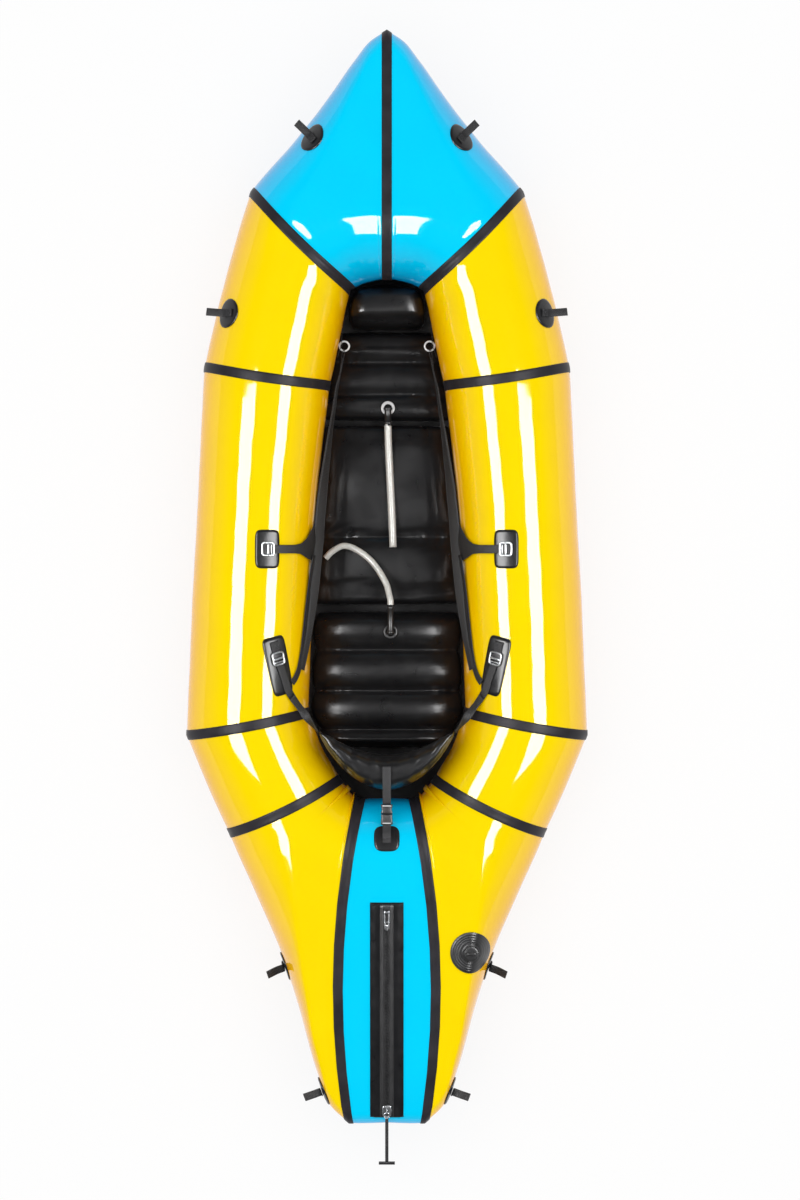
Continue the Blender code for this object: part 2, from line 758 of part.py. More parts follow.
pillow_front = from_bow(BOW_DECK + PILLOW_GAP)
mat_front = pillow_front - PILLOW_LENGTH - MAT_GAP
leg_front = mat_front - FRONT_MAT_LENGTH - MAT_GAP
seat_front = leg_front - LEG_MAT_LENGTH - SEAT_GAP
cushion("foot_pillow", pillow_front, PILLOW_LENGTH, PILLOW_HEIGHT, -PILLOW_GAP, PILLOW_LENGTH,
        PILLOW_CREASE_SHARE, per_rib=4, rim=PILLOW_LENGTH / 2)
cushion("front_mat", mat_front, FRONT_MAT_LENGTH, MAT_HEIGHT, CUSHION_SIDE, FRONT_RIB, FRONT_CREASE_SHARE)
cushion("leg_mat", leg_front, LEG_MAT_LENGTH, MAT_HEIGHT, CUSHION_SIDE, LEG_RIB, LEG_CREASE_SHARE, per_rib=8)
cushion("seat", seat_front, SEAT_LENGTH, SEAT_HEIGHT, CUSHION_SIDE / 4, SEAT_RIB, SEAT_CREASE_SHARE,
        rim=SEAT_HEIGHT / 3)


# The backrest: sections across its thickness, lofted from wing to wing.
BACK_HINGE = Vector((0.0, from_bow(BOW_DECK + COCKPIT_LENGTH) + BACK_GAP + BACK_DEPTH, BACK_BOTTOM))


def backrest():
    angles = 2 * pi * np.arange(BACK_AROUND) / BACK_AROUND
    half = BACK_WIDTH / 2
    loops = []
    for i in range(BACK_STATIONS):
        share = 2 * i / (BACK_STATIONS - 1) - 1
        front = BACK_HINGE.y + BACK_SWEEP * share * share
        depth = WING_DEPTH + (BACK_DEPTH - WING_DEPTH) * (1 - share * share)
        bottom = BACK_BOTTOM + WING_RISE * share * share
        tall = BACK_BOTTOM + BACK_HEIGHT - bottom
        round_off = 1 - END_SHARE * abs(share) ** WING_POWER
        y = front - depth / 2 + depth / 2 * rounded(np.cos(angles), CUSHION_BOX_SHARE) * round_off
        z = bottom + tall / 2 + tall / 2 * rounded(np.sin(angles), CUSHION_BOX_SHARE) * round_off
        loops.append(np.column_stack([np.full_like(y, half * share), y, z]))
    add("backrest", *lofted(loops), "black", pivot=BACK_HINGE)


backrest()


# Hoses and nozzles. Each nozzle is one with its cushion; the hose starts at its mouth.
def turned(matrix, profile, count=ROUND):
    """Points and faces of a solid of revolution about the matrix's Z, from (radius, height) pairs."""
    loops = []
    for radius, height in profile:
        loops.append([
            matrix @ Vector((radius * cos(2 * pi * i / count), radius * sin(2 * pi * i / count), height))
            for i in range(count)
        ])
    return lofted(loops)


def fused(thing, points, faces):
    """Joins another closed shape to the object by a Boolean union, and leaves that shape as a hidden helper."""
    helper = add(thing.name + "_joined", points, faces, "plastic")
    helper.hide_render = True
    helper.display_type = "WIRE"
    union = thing.modifiers.new("joined", "BOOLEAN")
    union.operation = "UNION"
    union.solver = "EXACT"
    union.object = helper
    helper.parent = thing
    helper.matrix_parent_inverse = Matrix.Translation(-thing.location)
    return helper


def nozzle(thing, mouth, length, diameter):
    """A nozzle lying along the raft on the cushion and sunk into it a little, its mouth at this place."""
    bow_wards = 1 if mouth.y > thing_middle(thing) else -1
    start = mouth - Vector((0, bow_wards * length, diameter * SINK_SHARE))
    matrix = Matrix.Translation(start) @ Matrix.Rotation(-bow_wards * pi / 2, 4, "X")
    radius = diameter / 2
    profile = [(radius, 0), (radius, length - 2 * COLLAR), (radius + NOZZLE_WALL, length - 2 * COLLAR),
               (radius + NOZZLE_WALL, length - COLLAR), (radius, length - COLLAR), (radius, length)]
    fused(thing, *turned(matrix, profile, ROUND // 2))


def thing_middle(thing):
    ys = [vertex.co.y for vertex in thing.data.vertices]
    return (min(ys) + max(ys)) / 2


def smooth_route(points, steps):
    """A curve through the points: Catmull-Rom, with its ends extended straight."""
    points = [Vector(point) for point in points]
    points = [2 * points[0] - points[1]] + points + [2 * points[-1] - points[-2]]
    route = []
    for a, b, c, d in zip(points, points[1:], points[2:], points[3:]):
        for i in range(steps):
            t = i / steps
            route.append((2 * b + (c - a) * t + (2 * a - 5 * b + 4 * c - d) * t * t
                          + (3 * b - a - 3 * c + d) * t * t * t) / 2)
    return route + [points[-2]]


def hose(name, mouth, route, diameter, steps):
    """A free hose as a curve with a round bevel and filled caps; it leaves the mouth straight."""
    curve = bpy.data.curves.new(name, "CURVE")
    curve.dimensions = "3D"
    curve.bevel_depth = diameter / 2
    curve.bevel_resolution = 2
    curve.use_fill_caps = True
    spline = curve.splines.new("POLY")
    places = [Vector(mouth)] + smooth_route(route, steps)
    spline.points.add(len(places) - 1)
    for point, place in zip(spline.points, places):
        point.co = (*place, 1)
    thing = bpy.data.objects.new(name, curve)
    bpy.context.scene.collection.objects.link(thing)
    curve.materials.append(finish(name, "hose"))
    return thing


def hose_places(rows, height):
    """Places on the floor parts from rows of width share, length share and rise over this height."""
    half = COCKPIT_WIDTH / 2
    return [(across * half, from_bow(share * HULL_LENGTH), height + rise) for across, share, rise in rows]


MAT_HOSE_Z = BASE + MAT_HEIGHT + CLEARANCE + MAT_HOSE / 2
SEAT_HOSE_Z = BASE + SEAT_HEIGHT + CLEARANCE + SEAT_HOSE / 2
LOW_HOSE_Z = BASE + MAT_HEIGHT + 2 * CLEARANCE + SEAT_HOSE / 2
mat_mouth = Vector((MAT_HOSE_X, from_bow(MAT_MOUTH), MAT_HOSE_Z))
seat_mouth = Vector((SEAT_HOSE_X, seat_front + SEAT_OVERHANG, SEAT_HOSE_Z))
nozzle(bpy.data.objects["front_mat"], mat_mouth, MAT_NOZZLE_LENGTH, MAT_HOSE)
nozzle(bpy.data.objects["seat"], seat_mouth, SEAT_NOZZLE_LENGTH, SEAT_HOSE)
hose("mat_hose", mat_mouth - Vector((0, CLEARANCE, 0)), [
    mat_mouth - Vector((0, HOSE_START, 0)),
    *hose_places(MAT_ROUTE, MAT_HOSE_Z),
], MAT_HOSE, 3)
hose("seat_hose", seat_mouth + Vector((0, CLEARANCE, 0)), [
    seat_mouth + Vector((0, HOSE_START, 0)),
    *hose_places(SEAT_ROUTE_HIGH, SEAT_HOSE_Z),
    *hose_places(SEAT_ROUTE_LOW, LOW_HOSE_Z),
], SEAT_HOSE, 3)


# Places on the side tubes, by the distance from the bow and the angle up from the cockpit side.
OUTER_LINE = np.array([rib_row(shares)[0] for panel in PANEL_SHARES for shares in panel])


def tube_middle(y):
    """The X of the left tube's middle at this Y."""
    outer = float(np.interp(y, OUTER_LINE[::-1, 1], -OUTER_LINE[::-1, 0]))
    return -(outer + cockpit_half(y)) / 2


def on_tube(distance, angle, side):
    """The place on a side tube's skin and its outward normal; side is -1 on the left, 1 on the right."""
    y = from_bow(distance)
    middle = Vector((-side * tube_middle(y), y, TUBE_BASE + TUBE_HEIGHT / 2))
    way = Vector((-side * cos(angle), 0, sin(angle)))
    place, normal = skin_hit(middle + way * TUBE_HEIGHT, -way)
    return place, normal


def skin_route(rows, side, steps=3):
    """Places and normals along a route of (distance, angle in degrees, lift), each seated on the skin."""
    route = []
    for distance, angle, lift in smooth_route(rows, steps):
        place, normal = on_tube(distance, radians(angle), side)
        route.append((place + normal * lift, normal))
    return route


def ribbon(route, width, thickness):
    """Points and faces of webbing along places with normals; its face lies square to the normals."""
    under, over = [], []
    for i, (place, normal) in enumerate(route):
        before, after = route[max(i - 1, 0)][0], route[min(i + 1, len(route) - 1)][0]
        across = (after - before).cross(normal).normalized()
        face = across.cross(after - before).normalized()
        face = face if face.dot(normal) > 0 else -face
        under.append([place + across * width / 2, place - across * width / 2])
        over.append([corner + face * thickness for corner in under[-1]])
    return between(under, over)


def eased(start, end, start_normal, end_normal, steps):
    """A free stretch of webbing between two places, turning evenly from one normal to the other."""
    shares = [i / steps for i in range(1, steps + 1)]
    return [(start.lerp(end, share), start_normal.lerp(end_normal, share).normalized()) for share in shares]


def lattice(matrix, us, vs, windows, low, high):
    """Points and faces of a flat plate on a grid of lines, with the named cells left open."""
    solid = {(i, j) for i in range(len(us) - 1) for j in range(len(vs) - 1)} - set(windows)
    index, points, faces = {}, [], []

    def corner(i, j, top):
        if (i, j, top) not in index:
            index[i, j, top] = len(points)
            points.append(matrix @ Vector((us[i], vs[j], high if top else low)))
        return index[i, j, top]

    for i, j in sorted(solid):
        faces.append([corner(*place, True) for place in ((i, j), (i + 1, j), (i + 1, j + 1), (i, j + 1))])
        faces.append([corner(*place, False) for place in ((i, j), (i, j + 1), (i + 1, j + 1), (i + 1, j))])
        for other, a, b in (((i, j - 1), (i, j), (i + 1, j)), ((i + 1, j), (i + 1, j), (i + 1, j + 1)),
                            ((i, j + 1), (i + 1, j + 1), (i, j + 1)), ((i - 1, j), (i, j + 1), (i, j))):
            if other not in solid:
                faces.append([corner(*a, True), corner(*a, False), corner(*b, False), corner(*b, True)])
    return points, faces


def ladder_lock(name, seat, turn):
    """A two-window strap lock lying on its patch; it tilts up about its far bar."""
    low = SKIN_GAP + PATCH + LOCK_LIFT
    matrix = seat.matrix() @ Matrix.Rotation(turn, 4, "Z")
    us = (-LOCK_WIDTH / 2, -LOCK_WIDTH / 2 + LOCK_BAR, LOCK_WIDTH / 2 - LOCK_BAR, LOCK_WIDTH / 2)
    vs = (-LOCK_LENGTH / 2, -LOCK_LENGTH / 2 + LOCK_BAR, -LOCK_BAR / 2, LOCK_BAR / 2,
          LOCK_LENGTH / 2 - LOCK_BAR, LOCK_LENGTH / 2)
    pivot = matrix @ Vector((0, LOCK_LENGTH / 2 - LOCK_BAR / 2, low + LOCK_THICK / 2))
    add(name, *lattice(matrix, us, vs, [(1, 1), (1, 3)], low, low + LOCK_THICK), "steel",
        pivot=pivot, flat=True)
    axis = (matrix.to_3x3() @ Vector((1, 0, 0))).normalized()
    joints.append((name, pivot, axis))
    return matrix


def routed(rows):
    """Route rows with their shares of the hull's length turned into distances behind the bow."""
    return [(share * HULL_LENGTH, angle, lift) for share, angle, lift in rows]


def thigh_gear(word, side):
    """The straps, locks and patches on one side tube; side is -1 on the left, 1 on the right."""
    place, normal = on_tube(SIDE_PATCH_AT, SIDE_PATCH_ANGLE, side)
    seat = Seat(place, normal, (0, 1, 0))
    skin_patch("side_patch_" + word, seat, rectangle_grid(*SIDE_PATCH, PATCH_CORNER, 7, 5), "black")
    ladder_lock("side_lock_" + word, seat, side * pi / 2 * -1)

    lock_edge = np.degrees(SIDE_PATCH_ANGLE - LOCK_LENGTH / 2 / (TUBE_HEIGHT / 2)) - LOCK_EDGE_DEGREES
    cross = [(SIDE_PATCH_AT, lock_edge, SKIN_GAP + PATCH + CLEARANCE)] + routed(SIDE_ROUTE)
    strap = [(RING_AT + RING_OUTER * 2, 0, RING_OUTER + SKIN_GAP)] + routed(THIGH_ROUTE)
    thigh = add("thigh_strap_" + word, *ribbon(skin_route(strap, side, 2), STRAP, WEBBING), "webbing")
    fused(thigh, *ribbon(skin_route(cross, side, 3), SIDE_STRAP, WEBBING * 3 / 2))

    place, normal = on_tube(RING_AT, 0.0, side)
    seat = Seat(place, normal, (0, 1, 0))
    middle = seat.at(0, 0, CLEARANCE + RING_OUTER)
    round_axis = Matrix.Translation(middle) @ seat.matrix().to_3x3().to_4x4() @ Matrix.Rotation(pi / 2, 4, "Y")
    pivot = seat.at(0, 0, CLEARANCE + RING_WIRE)
    add("front_ring_" + word, *hoop(round_axis, RING_OUTER - RING_WIRE, RING_WIRE), "white", pivot=pivot)
    joints.append(("front_ring_" + word, pivot, seat.v))

    place, normal = on_tube(REAR_PATCH_AT, REAR_PATCH_ANGLE, side)
    seat = Seat(place, normal, (side * sin(REAR_PATCH_TURN), cos(REAR_PATCH_TURN), 0))
    skin_patch("rear_patch_" + word, seat, rectangle_grid(*REAR_PATCH, PATCH_CORNER, 7, 7), "black")
    lock_at = REAR_PATCH[1] / 8
    lock_seat = Seat(seat.onto(0, lock_at, 0), seat.w, seat.v)
    ladder_lock("rear_lock_" + word, lock_seat, 0.0)

    route = []
    for share in REAR_STRAP_SHARES:
        v = lock_at - LOCK_LENGTH / 2 - WEBBING - share * REAR_PATCH[1] / 2
        route.append((seat.onto(-side * share * REAR_STRAP_SHIFT, v, SKIN_GAP + PATCH + 5 * CLEARANCE), seat.w))
    wing = Vector((side * (BACK_WIDTH / 2 + 4 * CLEARANCE), BACK_HINGE.y + BACK_SWEEP - WING_DEPTH / 2,
                   BACK_BOTTOM + BACK_HEIGHT - 2 * STRAP))
    leaving, leaving_normal = skin_route(routed(REAR_STRAP_LEAVES * 2), side, 1)[0]
    route.append((leaving, leaving_normal))
    route += eased(leaving, wing, leaving_normal, Vector((side, 0, 0)), 3)
    add("rear_strap_" + word, *ribbon(route, SIDE_STRAP, WEBBING), "webbing")


def hoop(matrix, radius, wire, count=ROUND, sides=8):
    """Points and faces of a round ring about the matrix's Z."""
    loops = []
    for i in range(count):
        turn = 2 * pi * i / count
        loops.append([
            matrix @ Vector(((radius + wire * cos(2 * pi * j / sides)) * cos(turn),
                             (radius + wire * cos(2 * pi * j / sides)) * sin(turn),
                             wire * sin(2 * pi * j / sides)))
            for j in range(sides)
        ])
    points = [point for loop in loops for point in loop]
    faces = []
    for i in range(count):
        for j in range(sides):
            k, m = (i + 1) % count, (j + 1) % sides
            faces.append((i * sides + j, i * sides + m, k * sides + m, k * sides + j))
    return points, faces


for word, side in (("left", -1), ("right", 1)):
    thigh_gear(word, side)


# Tie-downs: a round patch on the skin with a flat folded loop of webbing standing out of it.
def tie_down(name, place, normal, towards, lean, count):
    """A disc of count by count points, with a tab that points along the skin and is raised by the lean."""
    seat = Seat(place, normal, towards)
    disc = skin_patch(name, seat, disc_grid(TIE_DISC, count), "black", thickness=PATCH * 2)
    low = SKIN_GAP + PATCH
    out = [(seat.onto(0, v, low), seat.w) for v in (0.0, TIE_TAB_WIDTH / 2)]
    tip = seat.at(0, TIE_TAB_LENGTH * cos(lean), TIE_TAB_LENGTH * sin(lean))
    out += eased(out[-1][0], tip, seat.w, seat.w, 2)
    fused(disc, *ribbon(out, TIE_TAB_WIDTH, TIE_TAB))


def plan_hit(side, across, along):
    """The place on the hull under this share of its width, on that side, and share of its length."""
    return from_above(side * across * HULL_WIDTH, from_bow(along * HULL_LENGTH))


def side_hit(side, along, up):
    """The place on the hull's outer side that a level line from outside meets at these shares."""
    return skin_hit((side * REACH, from_bow(along * HULL_LENGTH), up * TUBE_HEIGHT), (-side, 0, 0))


def pointed(side, way):
    """A tab's direction, turned round on the left side."""
    return (side * way[0], way[1], way[2])


for word, side in (("left", -1), ("right", 1)):
    tie_down("bow_tie_" + word, *plan_hit(side, *BOW_TIE_SHARES), pointed(side, BOW_TAB_WAY), TIE_LEAN,
             EVEN_GRID)
    tie_down("front_tie_" + word, *plan_hit(side, *FRONT_TIE_SHARES), pointed(side, FRONT_TAB_WAY), TIE_LEAN,
             EVEN_GRID)
    tie_down("stern_tie_" + word, *side_hit(side, *STERN_TIE_SHARES), pointed(side, STERN_TAB_WAY),
             STERN_TIE_LEAN, TIGHT_GRID)
    tie_down("tail_tie_" + word, *side_hit(side, *TAIL_TIE_SHARES), pointed(side, TAIL_TAB_WAY),
             STERN_TIE_LEAN, TIGHT_GRID)


# The main valve on the right of the tail.
def main_valve():
    place, normal = plan_hit(1, *VALVE_SHARES)
    seat = Seat(place, normal, (0, 1, 0))
    flange = skin_patch("valve_flange", seat, disc_grid(VALVE_FLANGE, 9), "black", thickness=PATCH * 2,
                        lift=SKIN_GAP * 2)
    matrix = seat.matrix()
    low = SKIN_GAP * 2 + PATCH
    top = low + VALVE_HEIGHT
    fused(flange, *turned(matrix, [(VALVE_BODY / 2, low - PATCH / 2), (VALVE_BODY / 2, top)]))
    pivot = matrix @ Vector((0, 0, top + CLEARANCE))
    grip = top + CLEARANCE + CAP_HEIGHT
    cap = add("valve_cap", *turned(matrix, [(CAP_OUTER / 2, top + CLEARANCE), (CAP_OUTER / 2, grip - CAP_GRIP),
                                            (CAP_OUTER / 2 - CAP_GRIP / 4, grip - CAP_GRIP * 3 / 4)]),
              "plastic", pivot=pivot)
    us = (-CAP_OUTER * GRIP_SHARE, CAP_OUTER * GRIP_SHARE)
    vs = (-CAP_GRIP / 2, CAP_GRIP / 2)
    fused(cap, *lattice(matrix, us, vs, [], grip - CAP_GRIP * GRIP_ROOT_SHARE, grip))
    joints.append(("valve_cap", pivot, seat.w))


main_valve()


# The backrest's centre strap, its buckle and the patch on the stern.
def box_loop(x, z, y, centre_z):
    return [(x * a / 2, y, centre_z + z * b / 2) for a, b in ((-1, -1), (1, -1), (1, 1), (-1, 1))]


def back_buckle():
    top = BACK_BOTTOM + BACK_HEIGHT
    middle = top - BUCKLE_THICK / 2 - CLEARANCE
    mouth = from_bow(BUCKLE_AT)
    width, thick = BUCKLE_WIDTH, BUCKLE_THICK
    bore = (width - 2 * SOCKET_WALL, thick - 2 * SOCKET_WALL)
    heel = mouth - SOCKET_LENGTH
    socket = lofted([box_loop(width, thick, heel, middle), box_loop(width, thick, mouth, middle),
                     box_loop(*bore, mouth, middle), box_loop(*bore, heel + SOCKET_WALL, middle)])

    slim = width - 2 * SOCKET_WALL - 4 * CLEARANCE
    flat = thick - 2 * SOCKET_WALL - 4 * CLEARANCE
    face = mouth + 2 * CLEARANCE
    tip = slim * TONGUE_TIP_SHARE
    loops = [box_loop(width, thick, face + PLUG_LENGTH, middle), box_loop(width, thick, face, middle),
             box_loop(slim, flat, face, middle), box_loop(tip, flat, face - TONGUE_LENGTH, middle)]
    pivot = Vector((0, face, middle))
    add("buckle_plug", *lofted(loops), "plastic", pivot=pivot, flat=True)
    joints.append(("buckle_plug", pivot, Vector((0, 1, 0))))

    up = Vector((0, 0, 1))
    lie = BACK_HINGE.y - BACK_DEPTH / 4
    start = Vector((0, lie, top + CLEARANCE))
    aft = Vector((0, BACK_HINGE.y - BACK_DEPTH * 3 / 4, top + CLEARANCE))
    end = Vector((0, face + PLUG_LENGTH + 2 * CLEARANCE, middle - WEBBING / 2))
    route = [(start, up)] + eased(start, aft, up, up, 2) + eased(aft, end, up, up, 2)
    add("back_strap", *ribbon(route, BACK_STRAP, WEBBING), "webbing", flat=True)

    place, normal = from_above(0.0, from_bow(BACK_PATCH_AT))
    seat = Seat(place, normal, (0, 1, 0))
    patch = skin_patch("buckle_socket", seat, rectangle_grid(*BACK_PATCH, PATCH_CORNER, 5, 7), "black")
    tail_start = Vector((0, heel + SOCKET_WALL / 2, middle - WEBBING / 2))
    tail_lift = SKIN_GAP + PATCH * TAIL_SINK_SHARE
    ashore = seat.onto(0, BACK_PATCH[1] * TAIL_START_SHARE, tail_lift)
    rest = seat.onto(0, BACK_PATCH[1] * TAIL_END_SHARE, tail_lift)
    tail = [(tail_start, up), (Vector(ashore), seat.w), (Vector(rest), seat.w)]
    fused(patch, *ribbon(tail, BACK_STRAP, WEBBING))
    fused(patch, *socket)


back_buckle()


# The cargo zip: everything lies along one straight line over the stern panel, so that the slider can run.
def zip_frame():
    """A matrix with Y along the zip towards the bow and Z off the hull, its origin at the zip's front end."""
    ends = [from_above(0.0, from_bow(ZIP_FROM_BOW + ZIP_LENGTH * share))[0] for share in ZIP_LEVEL_SHARES]
    along = (ends[0] - ends[1]).normalized()
    off = Vector((1, 0, 0)).cross(along).normalized()
    start, _ = from_above(0.0, from_bow(ZIP_FROM_BOW))
    highest = -REACH
    for i in range(ZIP_STEPS + 1):
        for half in (-1, 0, 1):
            y = from_bow(ZIP_FROM_BOW + ZIP_LENGTH * i / ZIP_STEPS)
            place = from_above(half * ZIP_PANEL_WIDTH / 2, y)[0]
            highest = max(highest, (place - start).dot(off))
    start = start + off * (highest + SKIN_GAP + ZIP_PANEL)
    turn = Matrix((Vector((1, 0, 0)), along, off)).transposed()
    return Matrix.Translation(start) @ turn.to_4x4()


def cargo_zip():
    matrix = zip_frame()
    off = matrix.to_3x3() @ Vector((0, 0, 1))
    over, under = [], []
    for i in range(ZIP_STEPS + 1):
        v = -ZIP_LENGTH * (1 - (1 - i / ZIP_STEPS) ** ZIP_CROWDING)
        over.append([])
        under.append([])
        for j in range(5):
            top = matrix @ Vector((ZIP_PANEL_WIDTH * (j / 4 - 0.5), v, 0))
            place, _ = skin_hit(top + off * ZIP_PANEL, -off)
            over[-1].append(top)
            under[-1].append(place + off * SKIN_GAP * 3 / 2)
    whole = add("cargo_zip", *between(over, under), "black", flat=True)

    def track_loop(v, half_ridge, ridge):
        low, high = -ZIP_TAPE / 2, ZIP_TAPE
        outline = ((-ZIP_TAPE_WIDTH / 2, low), (ZIP_TAPE_WIDTH / 2, low), (ZIP_TAPE_WIDTH / 2, high),
                   (half_ridge, high), (half_ridge, high + ridge), (-half_ridge, high + ridge),
                   (-half_ridge, high), (-ZIP_TAPE_WIDTH / 2, high))
        return [matrix @ Vector((u, v, w)) for u, w in outline]

    teeth = (ZIP_TEETH_WIDTH / 2, ZIP_TEETH)
    plate = (ZIP_END_WIDTH / 2, ZIP_END_HEIGHT)
    first = -ZIP_MARGIN
    loops = [track_loop(first, *plate), track_loop(first - ZIP_END_LENGTH, *plate),
             track_loop(first - ZIP_END_LENGTH - ZIP_TAPE, *teeth), track_loop(-ZIP_LENGTH + ZIP_TAPE, *teeth)]
    fused(whole, *lofted(loops))

    low = ZIP_TAPE + CLEARANCE
    inside = ZIP_TEETH_WIDTH / 2 + 2 * CLEARANCE
    ceiling = low + ZIP_TEETH + CLEARANCE
    roof = low + SLIDER_HEIGHT - LUG_HEIGHT

    def slider_loop(v):
        outline = ((-SLIDER_WIDTH / 2, low), (-inside, low), (-inside, ceiling), (inside, ceiling),
                   (inside, low), (SLIDER_WIDTH / 2, low), (SLIDER_WIDTH / 2, roof + SLIDER_WALL),
                   (-SLIDER_WIDTH / 2, roof + SLIDER_WALL))
        return [matrix @ Vector((u, v, w)) for u, w in outline]

    aft = -ZIP_LENGTH + ZIP_TAPE + ZIP_STOP
    pivot = matrix @ Vector((0, aft + SLIDER_LENGTH / 2, low))
    slider = add("zip_slider", *lofted([slider_loop(aft + SLIDER_LENGTH), slider_loop(aft)]), "steel",
                 pivot=pivot, flat=True)
    top = roof + SLIDER_WALL
    post = (aft + LUG_LENGTH, aft + 2 * LUG_LENGTH)
    us = (-LUG_WIDTH / 2, LUG_WIDTH / 2)
    fused(slider, *lattice(matrix, us, post, [], top - SLIDER_WALL / 2, top + LUG_HEIGHT))
    joints.append(("zip_slider", pivot, (matrix.to_3x3() @ Vector((0, 1, 0))).normalized()))

    # The pull: an eye round the slider's post, a strap and a cross bar, in one flat piece.
    bar = PULL_EYE_BAR
    front = post[1] + bar + 2 * CLEARANCE
    window = PULL_EYE
    side = LUG_WIDTH / 2 + 2 * CLEARANCE
    vs = (front, front - bar, front - bar - window, front - bar - window - bar,
          front - bar - window - bar - PULL_LENGTH, front - bar - window - bar - PULL_LENGTH - PULL_BAR)
    us = (-PULL_BAR_LENGTH / 2, -side - bar, -side, side, side + bar, PULL_BAR_LENGTH / 2)
    strap_cells = {(i, j) for j in range(5) for i in range(5)}
    eye = {(i, j) for j in (0, 2) for i in (1, 2, 3)} | {(1, 1), (3, 1)}
    kept = eye | {(2, 3)} | {(i, 4) for i in range(5)}
    low_pull = top + 3 * CLEARANCE
    pull_pivot = matrix @ Vector((0, front - bar / 2, low_pull + PULL_THICK / 2))
    add("zip_pull", *lattice(matrix, us, vs, strap_cells - kept, low_pull, low_pull + PULL_THICK),
               "webbing", pivot=pull_pivot, flat=True)
    joints.append(("zip_pull", pull_pivot, Vector((1, 0, 0))))


cargo_zip()
joints.append(("backrest", BACK_HINGE, Vector((1, 0, 0))))


def settle():
    """Moves the raft along Y so that the origin lies under the middle of its bounding box."""
    bpy.context.view_layer.update()
    ys = []
    for thing in bpy.data.objects:
        if not thing.hide_render:
            ys += [(thing.matrix_world @ Vector(corner)).y for corner in thing.bound_box]
    shift = -(min(ys) + max(ys)) / 2
    for thing in bpy.data.objects:
        if thing.parent is None:
            thing.location.y += shift
    for name, pivot, axis in joints:
        print("joint", name, [round(value, 5) for value in (pivot.x, pivot.y + shift, pivot.z)],
              [round(value, 5) for value in axis])
    print("bow tip at y =", round(shift, 5))


settle()
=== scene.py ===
"""A one-person packraft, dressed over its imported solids: skin, tapes, cushions, hoses, straps and fittings.

Lengths are metres. +Y points to the bow and +Z up, as in the solids. Every piece has its place in its mesh.
"""

from math import cos, pi, radians, sin

import bmesh
import bpy
import numpy as np
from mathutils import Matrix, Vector
from mathutils.bvhtree import BVHTree


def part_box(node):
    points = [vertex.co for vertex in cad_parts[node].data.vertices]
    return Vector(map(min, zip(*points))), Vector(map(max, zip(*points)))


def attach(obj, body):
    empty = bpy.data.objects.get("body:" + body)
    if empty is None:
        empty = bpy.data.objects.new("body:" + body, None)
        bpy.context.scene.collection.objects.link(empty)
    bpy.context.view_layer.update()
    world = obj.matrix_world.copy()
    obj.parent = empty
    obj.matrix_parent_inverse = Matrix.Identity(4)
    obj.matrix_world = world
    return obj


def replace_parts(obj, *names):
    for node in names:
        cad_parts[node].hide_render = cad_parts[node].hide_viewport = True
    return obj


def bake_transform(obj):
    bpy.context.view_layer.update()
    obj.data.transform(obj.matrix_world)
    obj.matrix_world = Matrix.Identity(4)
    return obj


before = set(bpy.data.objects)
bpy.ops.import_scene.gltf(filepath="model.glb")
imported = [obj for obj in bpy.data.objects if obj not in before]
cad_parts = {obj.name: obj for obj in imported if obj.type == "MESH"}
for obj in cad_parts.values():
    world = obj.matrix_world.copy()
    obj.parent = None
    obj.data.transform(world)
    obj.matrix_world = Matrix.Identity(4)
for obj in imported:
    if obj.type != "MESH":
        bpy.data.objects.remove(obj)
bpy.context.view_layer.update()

# Studio. The raft lies on a white floor under two long softboxes, one along each side, which the glossy skin
# mirrors as two narrow strips on each tube. The camera hangs straight over the cockpit, the bow at the top.
PIXEL = 0.0023
FRAME_HEIGHT = 1200 * PIXEL
LENS = 135.0
SENSOR = 36.0
LOOK_AT = (0.030, -0.008, 0.148)

camera_data = bpy.data.cameras.new("studio_camera")
camera_data.lens = LENS
camera_data.sensor_width = SENSOR
camera = bpy.data.objects.new("studio_camera", camera_data)
camera.location = (LOOK_AT[0], LOOK_AT[1], LOOK_AT[2] + FRAME_HEIGHT * LENS / SENSOR)
bpy.context.scene.collection.objects.link(camera)
bpy.context.scene.camera = camera
bpy.context.scene.view_settings.view_transform = "Standard"

TUBE_LEVEL = 0.2
SOFTBOX_X = 1.43
SOFTBOX_Y = -0.08
SOFTBOX_Z = 2.36


def softbox(name, place, size, power, glossy):
    """A rectangular lamp, turned about Y to face the raft, that lights either only gloss or only the rest."""
    lamp = bpy.data.lights.new(name, "AREA")
    lamp.shape = "RECTANGLE"
    lamp.size, lamp.size_y = size
    lamp.energy = power
    box = bpy.data.objects.new(name, lamp)
    box.location = place
    box.rotation_euler = (0, np.arctan2(place[0], place[2] - TUBE_LEVEL), 0)
    box.visible_glossy = glossy
    box.visible_diffuse = not glossy
    bpy.context.scene.collection.objects.link(box)


for side in (-1, 1):
    softbox("strip_box", (side * SOFTBOX_X, SOFTBOX_Y, SOFTBOX_Z), size=(0.98, 1.6), power=109, glossy=True)
softbox("ceiling_box", (0, 0, 4.2), size=(6, 6), power=125, glossy=False)


def new_node(tree, kind, **inputs):
    """A shader node; an input named as a number goes to that socket, any other to the socket of that name."""
    made = tree.nodes.new(kind)
    for name, value in inputs.items():
        if hasattr(made, name) and not isinstance(value, bpy.types.NodeSocket):
            setattr(made, name, value)
            continue
        socket = made.inputs[int(name[1:])] if name[0] == "_" else made.inputs[name.replace("_", " ")]
        if isinstance(value, bpy.types.NodeSocket):
            tree.links.new(value, socket)
        else:
            socket.default_value = value
    return made


